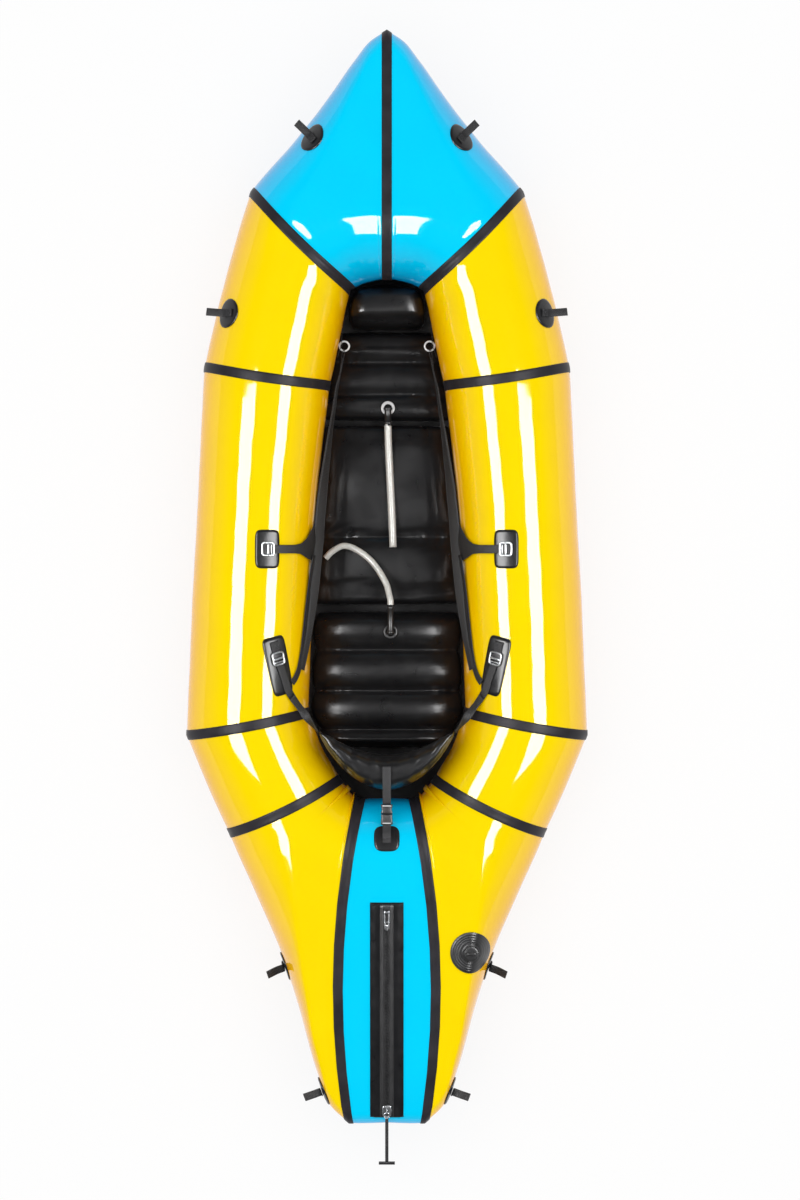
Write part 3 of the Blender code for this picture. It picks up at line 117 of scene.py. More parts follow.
def seen_by(tree, *rays):
    """One for rays of these kinds and nought for others: the largest of their Light Path outputs."""
    path = new_node(tree, "ShaderNodeLightPath")
    share = path.outputs[rays[0]]
    for ray in rays[1:]:
        share = new_node(tree, "ShaderNodeMath", operation="MAXIMUM", _0=share,
                         _1=path.outputs[ray]).outputs[0]
    return share


def studio_world():
    """White for the camera; an even light for diffuse surfaces; a pale horizon and dark ceiling for gloss."""
    world = bpy.data.worlds.new("studio")
    world.use_nodes = True
    tree = world.node_tree
    tree.nodes.clear()

    def light(strength):
        return new_node(tree, "ShaderNodeBackground", Color=(1, 1, 1, 1), Strength=strength).outputs[0]

    place = new_node(tree, "ShaderNodeTexCoord")
    parts = new_node(tree, "ShaderNodeSeparateXYZ", Vector=place.outputs["Generated"])
    height = new_node(tree, "ShaderNodeMapRange", Value=parts.outputs["Z"], From_Min=0.1, From_Max=0.6,
                      To_Min=0.40, To_Max=0.03)
    lit = new_node(tree, "ShaderNodeMixShader", _0=seen_by(tree, "Is Glossy Ray"), _1=light(0.66),
                   _2=light(height.outputs[0]))
    mixed = new_node(tree, "ShaderNodeMixShader", _0=seen_by(tree, "Is Camera Ray", "Is Transmission Ray"),
                     _1=lit.outputs[0], _2=light(1.0))
    new_node(tree, "ShaderNodeOutputWorld", Surface=mixed.outputs[0])
    return world


def studio_floor():
    """A wide sheet, white to the camera, glass and gloss, with a share of plain paint for the shadow."""
    mesh = bpy.data.meshes.new("studio_floor")
    reach, low = 9.0, -0.0006
    corners = ((-reach, -reach, low), (reach, -reach, low), (reach, reach, low), (-reach, reach, low))
    mesh.from_pydata(corners, [], [(0, 1, 2, 3)])
    floor = bpy.data.objects.new("studio_floor", mesh)
    bpy.context.scene.collection.objects.link(floor)
    paint = bpy.data.materials.new("studio_floor")
    paint.use_nodes = True
    tree = paint.node_tree
    tree.nodes.clear()
    share = new_node(tree, "ShaderNodeMath", operation="MULTIPLY", _1=0.84,
                     _0=seen_by(tree, "Is Camera Ray", "Is Transmission Ray", "Is Glossy Ray"))
    plain = new_node(tree, "ShaderNodeBsdfDiffuse", Color=(0.9, 0.9, 0.9, 1))
    bright = new_node(tree, "ShaderNodeEmission", Color=(1, 1, 1, 1), Strength=1.0)
    mixed = new_node(tree, "ShaderNodeMixShader", _0=share.outputs[0], _1=plain.outputs[0],
                     _2=bright.outputs[0])
    new_node(tree, "ShaderNodeOutputMaterial", Surface=mixed.outputs[0])
    mesh.materials.append(paint)


bpy.context.scene.world = studio_world()
studio_floor()

# Hull panels. Sheets of nylon coated with glossy plastic, cut flat, welded edge to edge and blown up hard.
# Each is one closed sheet round the tube from seam to seam, drawn in a little where the seam holds it.
HULL_LENGTH = 2.500
HULL_WIDTH = 0.922
TUBE_HEIGHT = 0.290
BOW_DECK = 0.566
COCKPIT_LENGTH = 1.187
COCKPIT_WIDTH = 0.359
BOW_TIP = 1.29155
TUBE_BASE = 0.003
WALL = 0.0018
SHOULDER = radians(6.0)
EDGE_SHARE = 0.27
SEAM_TRIM = 0.00015
TAPE_HALF = 0.0115
ARC_STEPS = 30
FLAT_STEPS = 5
ROW_STEP = 0.012

# Each row is a rib: half-width share and length share of its outer end on the hull, then of its inner end
# on the cockpit. A panel's first row is its seam.
PANEL_RIBS = {
    "bow_panel": ((0.000, 0.0000, 0.00, 0.000), (0.085, 0.0101, 0.09, 0.000), (0.160, 0.0270, 0.13, 0.001),
                  (0.310, 0.0645, 0.20, 0.003), (0.480, 0.1030, 0.28, 0.006), (0.625, 0.1320, 0.35, 0.010),
                  (0.681, 0.1440, 0.46, 0.018)),
    "front_panel": ((0.681, 0.1440, 0.46, 0.018), (0.755, 0.1900, 0.53, 0.060), (0.835, 0.2450, 0.62, 0.125),
                    (0.912, 0.3060, 0.73, 0.204)),
    "mid_panel": ((0.912, 0.3060, 0.73, 0.204), (0.938, 0.4050, 0.88, 0.400), (0.972, 0.5250, 0.96, 0.640),
                  (1.000, 0.6440, 1.00, 0.835)),
    "quarter_panel": ((1.000, 0.6440, 1.00, 0.835), (0.910, 0.6840, 0.84, 0.900),
                      (0.790, 0.7340, 0.59, 0.963)),
    "tail_panel": ((0.790, 0.7340, 0.59, 0.963), (0.661, 0.7870, 0.51, 0.978), (0.531, 0.8420, 0.49, 0.983),
                   (0.434, 0.8970, 0.46, 0.988), (0.347, 0.9520, 0.44, 0.991), (0.275, 0.9840, 0.42, 0.994),
                   (0.190, 0.9995, 0.34, 1.000)),
    "stern_panel": ((0.190, 0.9995, 0.34, 1.000), (0.095, 0.9985, 0.17, 1.000),
                    (0.000, 0.9975, 0.00, 1.000)),
}
# Each seam's taper, tilt, rise of its underside, sideways bow, and how deep it draws the skin in.
SEAM_SHAPES = (
    (radians(15.0), radians(9.0), 0.040, 0.0, 0.0012),
    (radians(5.0), radians(2.0), 0.0, 0.010, 0.0022),
    (0.0, 0.0, 0.0, 0.008, 0.0012),
    (0.0, 0.0, 0.0, 0.004, 0.0014),
    (0.0, 0.0, 0.0, 0.008, 0.0022),
    (radians(10.8), radians(5.0), 0.015, -0.036, 0.0040),
    (radians(10.8), radians(5.0), 0.015, 0.0, 0.0),
)
SEAM_REACH = 0.030


def rib_ends(rows):
    """Plan places of the ribs' outer and inner ends on the left half, as an array of (rows, 4)."""
    rows = np.array(rows)
    return np.column_stack([-rows[:, 0] * HULL_WIDTH / 2, BOW_TIP - rows[:, 1] * HULL_LENGTH,
                            -rows[:, 2] * COCKPIT_WIDTH / 2,
                            BOW_TIP - BOW_DECK - rows[:, 3] * COCKPIT_LENGTH])


def beside(seam, other, distance):
    """Ends of the rib that runs beside a seam at this distance, on the side of the other rib."""
    chord = (seam[:2] - seam[2:]) / np.linalg.norm(seam[:2] - seam[2:])
    across = np.array((-chord[1], chord[0]))
    if across @ (other[:2] - seam[:2] + other[2:] - seam[2:]) < 0:
        across = -across
    ends = []
    for start, way in ((seam[:2], other[:2] - seam[:2]), (seam[2:], other[2:] - seam[2:])):
        spread = way @ across
        ends.append(start + (way / spread if spread > distance else across) * distance)
    return np.concatenate(ends)


def smooth_rows(keys, values, at):
    """A cubic through the values at the keys: each key's slope is the chord between its two neighbours."""
    slopes = np.gradient(values, keys, axis=0)
    i = np.clip(np.searchsorted(keys, at, side="right") - 1, 0, len(keys) - 2)
    width = (keys[i + 1] - keys[i])[:, None]
    t = (at - keys[i])[:, None] / width
    return ((2 * t ** 3 - 3 * t ** 2 + 1) * values[i] + (t ** 3 - 2 * t ** 2 + t) * width * slopes[i]
            + (3 * t ** 2 - 2 * t ** 3) * values[i + 1] + (t ** 3 - t ** 2) * width * slopes[i + 1])


def tube_sections(length, taper, tilt):
    """Distance from the inner end and height of each rib's loop, for arrays of rib lengths, tapers and tilts.

    A loop goes round a large circle at the cockpit side and a small one at the outer side, whose centres lie
    on a line tilted up, with straight lines between them, and is then stretched to the rib's length.
    """
    large = np.minimum(TUBE_HEIGHT, length) / 2
    edge = large * EDGE_SHARE
    taper = np.minimum(taper, np.arcsin((large - edge) / (length - large - edge)))
    apart = (length - 2 * large) / (1 - np.sin(taper))
    small = large - apart * np.sin(taper)
    crest = pi / 2 - taper
    arc = np.linspace(0, 1, ARC_STEPS)
    flat = np.linspace(0, 1, FLAT_STEPS + 2)[1:-1]
    angles = np.concatenate([crest + SHOULDER + arc * (2 * pi - 2 * (crest + SHOULDER)),
                             -(crest + SHOULDER) + flat * 2 * SHOULDER,
                             (2 * arc - 1) * (crest - SHOULDER),
                             crest - SHOULDER + flat * 2 * SHOULDER], axis=1)
    shares = np.concatenate([arc * 0, flat, arc * 0 + 1, 1 - flat])[None]
    radius = large + (small - large) * shares
    along = apart * shares + radius * np.cos(angles)
    height = radius * np.sin(angles)
    along, height = (along * np.cos(tilt) - height * np.sin(tilt),
                     along * np.sin(tilt) + height * np.cos(tilt))
    low, high = along.min(axis=1, keepdims=True), along.max(axis=1, keepdims=True)
    return (along - low) / (high - low) * length, TUBE_HEIGHT / 2 + height * TUBE_HEIGHT / (2 * large)


def outward(points):
    """Unit normals of a grid of loops, from the cross product of its two ways, pointing off the tube."""
    along = np.gradient(points, axis=0)
    around = np.roll(points, -1, axis=1) - np.roll(points, 1, axis=1)
    normals = np.cross(along, around)
    normals /= np.maximum(np.linalg.norm(normals, axis=2, keepdims=True), 1e-12)
    away = points - points.mean(axis=1, keepdims=True)
    return normals if (normals * away).sum() > 0 else -normals


def rib_loops(ends, shapes, depths, seams):
    """Skin points of the ribs and how far the seams draw them in.

    A rib's point lies along its chord, moved sideways by its bow times 4s(1 - s), and at the section's
    height. Each seam pulls the skin in along its normal by its depth times exp(-distance / reach).
    """
    taper, tilt, rise, bow = (shapes[:, k:k + 1] for k in range(4))
    chord = ends[:, :2] - ends[:, 2:]
    length = np.linalg.norm(chord, axis=1, keepdims=True)
    chord = chord / length
    along, height = tube_sections(length, taper, tilt)
    share = along / length
    bulge = 4 * bow * share * (1 - share)
    x = ends[:, 2:3] + chord[:, :1] * along - chord[:, 1:] * bulge
    y = ends[:, 3:] + chord[:, 1:] * along + chord[:, :1] * bulge
    draw = 0
    for seam, depth in zip(seams, depths):
        outer = np.linalg.norm(ends[:, :2] - seam[:2], axis=1, keepdims=True)
        inner = np.linalg.norm(ends[:, 2:] - seam[2:], axis=1, keepdims=True)
        draw = draw + depth * np.exp(-(inner + (outer - inner) * share) / SEAM_REACH)
    return np.stack([x, y, TUBE_BASE + rise + height], axis=2), draw


def panel_ribs(index, rows):
    """Control ribs of a panel: trimmed at both seams, along both tape edges, and its own rows between."""
    ends = rib_ends(rows)
    last = index == len(PANEL_RIBS) - 1
    keys = np.concatenate([[0], np.cumsum(np.linalg.norm(np.diff(ends[:, :2], axis=0), axis=1))])
    keys = keys / keys[-1]
    shapes = np.array(SEAM_SHAPES)[:, :4]
    start, end = shapes[index], shapes[index + 1]
    controls = [(beside(ends[0], ends[1], SEAM_TRIM), start), (beside(ends[0], ends[1], TAPE_HALF), start)]
    for row, key in list(zip(ends, keys))[1:-1]:
        controls.append((row, start + (end - start) * key))
    if last:
        controls.append((ends[-1], end))
    else:
        controls.append((beside(ends[-1], ends[-2], TAPE_HALF), end))
        controls.append((beside(ends[-1], ends[-2], SEAM_TRIM), end))
    return ends, np.array([np.concatenate(control) for control in controls])


def panel_skin(index, rows):
    """The fine grid of a left panel's skin, (ribs, points round, 3)."""
    ends, controls = panel_ribs(index, rows)
    steps = np.maximum(np.linalg.norm(np.diff(controls[:, :2], axis=0), axis=1),
                       np.linalg.norm(np.diff(controls[:, 2:4], axis=0), axis=1))
    keys = np.concatenate([[0], np.cumsum(steps)])
    counts = np.maximum(2, np.ceil(steps / ROW_STEP).astype(int))
    at = np.concatenate([np.linspace(a, b, n, endpoint=False) for a, b, n in zip(keys, keys[1:], counts)]
                        + [keys[-1:]])
    plan = smooth_rows(keys, controls[:, :4], at)
    shapes = np.column_stack([np.interp(at, keys, controls[:, 4 + k]) for k in range(4)])
    depths = (SEAM_SHAPES[index][4], SEAM_SHAPES[index + 1][4])
    points, draw = rib_loops(plan, shapes, depths, (ends[0], ends[-1]))
    return points, draw


def ripples(points):
    """Slow unevenness of a blown-up sheet: a sum of four sines of the place, a third of a millimetre."""
    x, y, z = points[..., 0], points[..., 1], points[..., 2]
    return 0.00016 * (np.sin(31 * x + 17 * y + 2) + np.sin(23 * y - 29 * z) + np.sin(47 * z + 13 * y + 1)
                      + np.sin(61 * y + 37 * x))


def grid_faces(rows, columns, around=False):
    """Quads of a grid of points in row order, joined across when it goes around."""
    i, j = np.meshgrid(np.arange(rows - 1), np.arange(columns if around else columns - 1), indexing="ij")
    k = (j + 1) % columns
    return np.stack([i * columns + j, i * columns + k, (i + 1) * columns + k, (i + 1) * columns + j],
                    axis=-1).reshape(-1, 4)


def mesh_piece(name, points, faces, material, body="hull", smooth=True, uv=None):
    """A piece from arrays of points and faces, its normals made to point out, riding on a body."""
    mesh = bpy.data.meshes.new(name)
    mesh.from_pydata(np.asarray(points, float).reshape(-1, 3).tolist(), [], [list(face) for face in faces])
    if uv is not None:
        corners = np.empty(len(mesh.loops), np.int32)
        mesh.loops.foreach_get("vertex_index", corners)
        spots = np.asarray(uv, np.float32).reshape(-1, 2)[corners]
        mesh.uv_layers.new(name="UVMap").data.foreach_set("uv", spots.ravel())
    work = bmesh.new()
    work.from_mesh(mesh)
    bmesh.ops.remove_doubles(work, verts=work.verts, dist=1e-6)
    bmesh.ops.recalc_face_normals(work, faces=work.faces)
    work.to_mesh(mesh)
    work.free()
    if smooth:
        mesh.shade_smooth()
    piece = bpy.data.objects.new(name, mesh)
    bpy.context.scene.collection.objects.link(piece)
    mesh.materials.append(material)
    if body:
        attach(piece, body)
    return piece


def thicken(piece, depth):
    """Gives a sheet its wall, inwards from the points given."""
    wall = piece.modifiers.new("wall", "SOLIDIFY")
    wall.thickness = depth
    wall.offset = -1.0
    wall.use_even_offset = False


def fitted(piece, node=None):
    """Hides the imported solid that a piece stands for, when one is given."""
    if node:
        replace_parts(piece, node)


def both_sides(name, shape, single):
    """A left shape and its mirror twin by their nodes' names, or the one shape that spans the middle."""
    return {name: shape} if single else {name + "_left": shape, name + "_right": shape * MIRROR}


def blank_material(name):
    """A new material with its tree, its shader and the place on the piece that its patterns read."""
    material = bpy.data.materials.new(name)
    material.use_nodes = True
    tree = material.node_tree
    place = new_node(tree, "ShaderNodeTexCoord").outputs["Object"]
    return material, tree, tree.nodes["Principled BSDF"], place


def noise(tree, place, scale, detail, distortion=0.0):
    """Cloudy value noise of this scale to a metre."""
    return new_node(tree, "ShaderNodeTexNoise", Vector=place, Scale=scale, Detail=detail,
                    Distortion=distortion).outputs[0]


def spread(tree, value, low, high, low_from=0.3, high_from=0.7):
    """A pattern's value carried from one range to another."""
    return new_node(tree, "ShaderNodeMapRange", Value=value, From_Min=low_from, From_Max=high_from,
                    To_Min=low, To_Max=high).outputs[0]


def blended(tree, share, dark, light, way="MIX"):
    """A colour between two, or their product, by a pattern's value."""
    return new_node(tree, "ShaderNodeMix", data_type="RGBA", blend_type=way, _0=share, _6=dark,
                    _7=light).outputs[2]


def weave(tree, place, warp, weft, wobble=0.0):
    """Threads over and under: the product of two waves, each a scale and a direction."""
    threads = [new_node(tree, "ShaderNodeTexWave", Vector=place, Scale=scale, bands_direction=way,
                        Distortion=bend).outputs["Fac"]
               for (scale, way), bend in ((warp, 0.0), (weft, wobble))]
    return new_node(tree, "ShaderNodeMath", operation="MULTIPLY", _0=threads[0], _1=threads[1]).outputs[0]


def relief(tree, height, strength, depth, under=None):
    """Fine bumps of this depth, over coarser ones where these are given."""
    bump = new_node(tree, "ShaderNodeBump", Strength=strength, Distance=depth, Height=height)
    if under:
        tree.links.new(under, bump.inputs["Normal"])
    return bump.outputs[0]


def surface(tree, shader, colour, rough, bumps, **gloss):
    """Leads a colour, a roughness and bumps into the shader, and sets its other sockets."""
    for socket, value in (("Base Color", colour), ("Roughness", rough), ("Normal", bumps)):
        tree.links.new(value, shader.inputs[socket])
    for socket, value in gloss.items():
        shader.inputs[socket.replace("_", " ")].default_value = value


def coated(name, painted_lit_crown, painted_shade_flank):
    """Coated nylon: a colour with painted shade that deepens it on the flanks, faint cloudiness, a weave
    under a clear coat.
    """
    material, tree, shader, place = blank_material(name)
    facing = new_node(tree, "ShaderNodeNewGeometry").outputs["Normal"]
    upward = new_node(tree, "ShaderNodeSeparateXYZ", Vector=facing).outputs["Z"]
    # Painted shade: the colour goes from the crown colour to the darker flank colour as the surface turns
    # from facing up to facing sideways and down.
    colour = blended(tree, spread(tree, upward, 0.0, 1.0, 0.05, 0.9), painted_shade_flank, painted_lit_crown)
    cloud = spread(tree, noise(tree, place, 9.0, 3.0), 0.97, 1.0)
    bumps = relief(tree, weave(tree, place, (310.0, "DIAGONAL"), (350.0, "Y")), 0.12, 0.0002)
    scuffs = spread(tree, noise(tree, place, 55.0, 5.0), 0.323, 0.475, 0.35, 0.75)
    surface(tree, shader, blended(tree, 1.0, colour, cloud, "MULTIPLY"), scuffs, bumps,
            Specular_IOR_Level=0.0, Coat_Weight=1.0, Coat_Roughness=0.045, Coat_IOR=1.5)
    return material


MIRROR = np.array((-1.0, 1.0, 1.0))
# The second colour of each skin is the painted shade of the tubes' flanks.
yellow_skin = coated("yellow_coated_nylon", (1.0, 0.73, 0.0, 1), (1.0, 0.43, 0.0, 1))
cyan_skin = coated("cyan_coated_nylon", (0.0, 0.66, 1.0, 1), (0.0, 0.33, 0.80, 1))

skins = {}
for index, (panel, rows) in enumerate(PANEL_RIBS.items()):
    points, draw = panel_skin(index, rows)
    spans = panel == "stern_panel"
    if spans:
        points = np.concatenate([points, points[-2::-1] * MIRROR])
        draw = np.concatenate([draw, draw[-2::-1]])
    moved = points + outward(points) * (ripples(points) - draw)[..., None]
    material, slot = (cyan_skin, "cyan_hull") if panel in ("bow_panel", "stern_panel") else (
        yellow_skin, "yellow_hull")
    for node, skin in both_sides(panel, moved, spans).items():
        piece = mesh_piece(node + "_skin", skin, grid_faces(*skin.shape[:2], around=True), material)
        thicken(piece, WALL)
        fitted(piece, node)
        skins[node] = skin

# Seam tapes. Charcoal coated strips, heat-welded over every joint between two panels, all the way round the
# tube.
TAPE_LIFT = 0.0005
TAPE = 0.0010
TAPE_ROWS = 4


def tape_strip(index):
    """The strip over a seam: the loops beside it at even distances, lifted off the skin, its rims lower."""
    rows = list(PANEL_RIBS.values())
    seam, aft = rib_ends(rows[index][:2])
    if index == 0:
        fore = aft * np.array((-1.0, 1.0, -1.0, 1.0))
    else:
        fore = rib_ends(rows[index - 1])[-2]
    offsets = np.linspace(0, TAPE_HALF, TAPE_ROWS)
    ends = [beside(seam, fore, offset) for offset in offsets[:0:-1]] + [seam]
    ends += [beside(seam, aft, offset) for offset in offsets[1:]]
    ends = np.array(ends)
    shapes = np.repeat(np.array([SEAM_SHAPES[index][:4]]), len(ends), axis=0)
    points, draw = rib_loops(ends, shapes, (SEAM_SHAPES[index][4],), (seam,))
    across = np.linspace(-1, 1, len(ends))[:, None]
    lift = TAPE_LIFT + TAPE - 0.0004 * across ** 6
    return points + outward(points) * (lift - draw + ripples(points))[..., None]


def welded_tape():
    """Charcoal tape: a matt base with fine grain and small scuffs."""
    material, tree, shader, place = blank_material("charcoal_seam_tape")
    cloud = noise(tree, place, 24.0, 4.0)
    surface(tree, shader, blended(tree, cloud, (0.014, 0.013, 0.016, 1), (0.034, 0.031, 0.038, 1)),
            spread(tree, cloud, 0.34, 0.5), relief(tree, noise(tree, place, 900.0, 2.0), 0.25, 0.0003),
            Specular_IOR_Level=0.12)
    return material


tape_material = welded_tape()
for index, seam in enumerate(("bow", "deck", "front", "rear", "quarter", "stern")):
    for node, strip in both_sides(seam + "_tape", tape_strip(index), index == 0).items():
        piece = mesh_piece(node + "_strip", strip, grid_faces(*strip.shape[:2], around=True), tape_material)
        thicken(piece, TAPE)
        fitted(piece, node)

# Bottom sheet. Heavy black coated cloth welded to the tubes' undersides, which the raft stands and drags
# on.
FLOOR = 0.0012
FLOOR_COLUMNS = 25


def rubbed_cloth(name, dark, light, scale, coat, depth):
    """Black coated cloth: a close weave and broad, low creases, greyer where it has been rubbed."""
    material, tree, shader, place = blank_material(name)
    crease = noise(tree, place, scale, 6.0, 1.2)
    threads = weave(tree, place, (260.0, "X"), (260.0, "Y"))
    bumps = relief(tree, threads, 0.12, 0.0002, under=relief(tree, crease, 0.5, depth))
    surface(tree, shader, blended(tree, crease, dark, light), spread(tree, crease, 0.26, 0.42), bumps,
            Specular_IOR_Level=0.12, Coat_Weight=coat, Coat_Roughness=0.25)
    return material


def turn_to(piece, way):
    """Flips an open sheet whose faces look away from this direction."""
    normals = np.empty(len(piece.data.polygons) * 3, np.float32)
    piece.data.polygons.foreach_get("normal", normals)
    if normals.reshape(-1, 3).sum(axis=0) @ np.array(way) < 0:
        piece.data.flip_normals()


def bottom_cloth():
    """Rows across from the end of the left tubes' large circle to its twin, as high as the tube's rise
    there."""
    edge = np.concatenate([skins[panel + "_left"][:, ARC_STEPS - 1] for panel in list(PANEL_RIBS)[:-1]]
                          + [skins["stern_panel"][:len(skins["stern_panel"]) // 2 + 1, ARC_STEPS - 1]])
    drop = tube_sections(np.array([[TUBE_HEIGHT]]), 0.0, 0.0)[1][0, ARC_STEPS - 1]
    top = np.maximum(FLOOR, edge[:, 2] - TUBE_BASE + FLOOR - drop)
    half = np.maximum(-edge[:, 0], TAPE_HALF)
    share = np.linspace(-1, 1, FLOOR_COLUMNS)
    x = half[:, None] * share
    y = np.repeat(edge[:, 1:2], FLOOR_COLUMNS, axis=1)
    z = np.repeat(top[:, None], FLOOR_COLUMNS, axis=1)
    order = np.argsort(-y[:, 0], kind="stable")
    return np.stack([x, y, z], axis=2)[order]


floor_cloth_material = rubbed_cloth("bottom_cloth", (0.005, 0.005, 0.006, 1), (0.014, 0.014, 0.015, 1),
                                    14.0, 0.1, 0.0008)
cloth = bottom_cloth()
bottom = mesh_piece("bottom_sheet_cloth", cloth, grid_faces(*cloth.shape[:2]), floor_cloth_material)
turn_to(bottom, (0, 0, 1))
thicken(bottom, FLOOR)
fitted(bottom, "bottom_sheet")

# Inflated floor. A high foot pillow under the deck, a ribbed front mat, a long leg mat and a thick ribbed
# seat, all of black coated nylon welded along cross channels, which pucker the cloth beside each weld.
BASE = FLOOR + 0.0003
MAT_HEIGHT = 0.050
AROUND = 88


def cockpit_half(y):
    """Half the cockpit's width at these Y, at the tubes' middle height."""
    ends = np.concatenate([rib_ends(rows) for rows in PANEL_RIBS.values()])
    order = np.argsort(ends[:, 3], kind="stable")
    return np.interp(y, ends[order, 3], -ends[order, 2])


def rounded(value, share):
    """A power that keeps the sign: under 1 it squares a circle off."""
    return np.sign(value) * np.abs(value) ** share


def pucker(x, off, seed):
    """Gathers beside a weld: sines across the mat at odd pitches, strongest at the weld, gone 40 mm away."""
    waves = (np.sin(x * 211 + seed) + np.sin(x * 347 + 2.1 * seed + 4 * np.sin(x * 31 + seed))
             + 0.6 * np.sin(x * 587 + 3.3 * seed))
    return waves * np.exp(-off / 0.013)


def air_cushion(front, length, height, side, welds, crease, rim, ruck, seed, square=(0.62, 1.0)):
    """A closed loft of rounded boxes from the front to the back end, pressed down at each weld.

    The ribs between welds are the square root of a sine; the ends and sides are drawn in by the rim. Powers
    of the cosine and sine square the box off. The top is rucked beside the welds and along the ends by
    gathers, and by slow waves elsewhere.
    """
    count = max(24, int(length / 0.0048))
    t = np.linspace(0, 1, count + 1)
    t = (1 - np.cos(pi * t)) / 2 * 0.35 + t * 0.65
    y = front - length * t
    stops = np.concatenate([[0.0], welds, [length]])
    run = length * t
    i = np.clip(np.searchsorted(stops, run, side="right") - 1, 0, len(stops) - 2)
    rib = np.sqrt(np.abs(np.sin(pi * (run - stops[i]) / (stops[i + 1] - stops[i]))))
    off = np.abs(run[:, None] - stops[None, 1:-1]).min(axis=1) if len(welds) else run * 0 + 1.0
    near_end = np.minimum(run, length - run)
    swell = np.sqrt(np.maximum(0, 1 - np.maximum(0, 1 - near_end / rim) ** 2))
    tall = height * (crease + (1 - crease) * rib) * (0.30 + 0.70 * swell)
    half = cockpit_half(y) + side - rim * (1 - swell) * 0.35 - rim * 0.35 * (1 - rib)
    angle = np.linspace(0, 2 * pi, AROUND, endpoint=False)
    x = half[:, None] * rounded(np.cos(angle), square[0])
    up = rounded(np.sin(angle), square[1])
    under = tall[:, None] / 2 * (1 - rounded(np.maximum(-up, 0), 0.4))
    z = np.where(up > 0, tall[:, None] / 2 * (1 + up), under)
    spread = np.minimum(off, near_end)[:, None]
    top = np.clip(up, 0, 1)[None] ** 0.5
    folds = ruck * (pucker(x, spread, seed) + 0.7 * np.sin(19 * x + 43 * y[:, None] + seed)
                    + 0.5 * np.sin(37 * x - 29 * y[:, None] + 3 * seed))
    z = z + top * np.minimum(folds, ruck)
    points = np.stack([x, np.repeat(y[:, None], AROUND, axis=1), BASE + np.maximum(z, 0)], axis=2)
    points = points.reshape(-1, 3)
    return points, (count + 1, AROUND), np.repeat(off < 0.003, AROUND) & np.tile(up > 0.3, count + 1)


def lofted_faces(rows, columns):
    """Quads round a loft, with one flat face across each end."""
    faces = [tuple(face) for face in grid_faces(rows, columns, around=True)]
    return faces + [tuple(range(columns))[::-1], tuple(range((rows - 1) * columns, rows * columns))]


def blow_up(piece, held, cap, pressure=4.0):
    """Fills a cushion with air: Cloth with pressure and no gravity, welds held, no point past the cap."""
    welds = piece.vertex_groups.new(name="welds")
    welds.add([int(i) for i in np.flatnonzero(held)], 1.0, "REPLACE")
    air = piece.modifiers.new("air", "CLOTH")
    air.settings.quality = 6
    air.settings.mass = 0.3
    air.settings.tension_stiffness = 15
    air.settings.bending_stiffness = 0.5
    air.settings.use_pressure = True
    air.settings.uniform_pressure_force = pressure
    air.settings.effector_weights.gravity = 0
    air.settings.vertex_group_mass = "welds"
    scene = bpy.context.scene
    for step in range(1, 21):
        scene.frame_set(step)
    before = np.empty(len(piece.data.vertices) * 3)
    piece.data.vertices.foreach_get("co", before)
    blown = piece.evaluated_get(bpy.context.evaluated_depsgraph_get())
    after = np.empty_like(before)
    blown.data.vertices.foreach_get("co", after)
    move = (after - before).reshape(-1, 3)
    far = np.linalg.norm(move, axis=1, keepdims=True)
    move *= cap * np.tanh(far / cap) / np.maximum(far, 1e-9)
    settled = before.reshape(-1, 3) + move
    settled[:, 2] = np.maximum(settled[:, 2], BASE)
    piece.modifiers.remove(air)
    piece.vertex_groups.remove(welds)
    piece.data.vertices.foreach_set("co", settled.ravel())
    piece.data.update()
    scene.frame_set(1)


def finer(piece):
    """One even subdivision, the same in view and render."""
    smooth = piece.modifiers.new("smooth", "SUBSURF")
    smooth.levels = smooth.render_levels = 1


cushion_material = rubbed_cloth("black_cushion_nylon", (0.005, 0.005, 0.006, 1), (0.011, 0.011, 0.012, 1),
                                21.0, 0.70, 0.0016)
PILLOW_FRONT = BOW_TIP - BOW_DECK - 0.005
PILLOW_LENGTH = 0.098
FRONT_MAT_FRONT = PILLOW_FRONT - PILLOW_LENGTH - 0.004
FRONT_MAT_LENGTH = 0.212
LEG_MAT_FRONT = FRONT_MAT_FRONT - FRONT_MAT_LENGTH - 0.004
LEG_MAT_LENGTH = 0.425
SEAT_FRONT = LEG_MAT_FRONT - LEG_MAT_LENGTH - 0.010
SEAT_LENGTH = 0.322
SEAT_HEIGHT = 0.085
RIB = 0.0925
CUSHION_PUFF = 0.0045
# Each shape: front, length, height, side, welds, crease, rim, ruck, seed and how square it is.
for node, shape in (
        ("foot_pillow", (PILLOW_FRONT, PILLOW_LENGTH, 0.157, -0.007, np.array([]), 0.90, 0.030, 0.0026, 1.0,
                         (0.36, 0.62))),
        ("front_mat", (FRONT_MAT_FRONT, FRONT_MAT_LENGTH, 0.046, 0.009, np.array([0.0745, 0.149]), 0.55,
                       0.0125, 0.0013, 2.0)),
        ("leg_mat", (LEG_MAT_FRONT, LEG_MAT_LENGTH, 0.046, 0.009, np.array([0.2655]), 0.70, 0.0125, 0.0020,
                     3.7)),
        ("seat", (SEAT_FRONT, SEAT_LENGTH, 0.079, 0.0, np.array([RIB, 2 * RIB, 3 * RIB]), 0.62, 0.0283,
                  0.0013, 5.2))):
    points, size, held = air_cushion(*shape)
    piece = mesh_piece(node + "_cushion", points, lofted_faces(*size), cushion_material)
    if len(piece.data.vertices) == len(points):
        blow_up(piece, held, CUSHION_PUFF)
    finer(piece)
    fitted(piece, node)

# Backrest. A curved black air cushion that hangs between the tubes and leans on the stern; soft upright
# folds run down its face, and it tips forward about its lower rear edge.
BACK_HINGE_Y = BOW_TIP - BOW_DECK - COCKPIT_LENGTH + 0.014 + 0.084
BACK_BOTTOM = 0.095
BACK_HEIGHT = 0.215


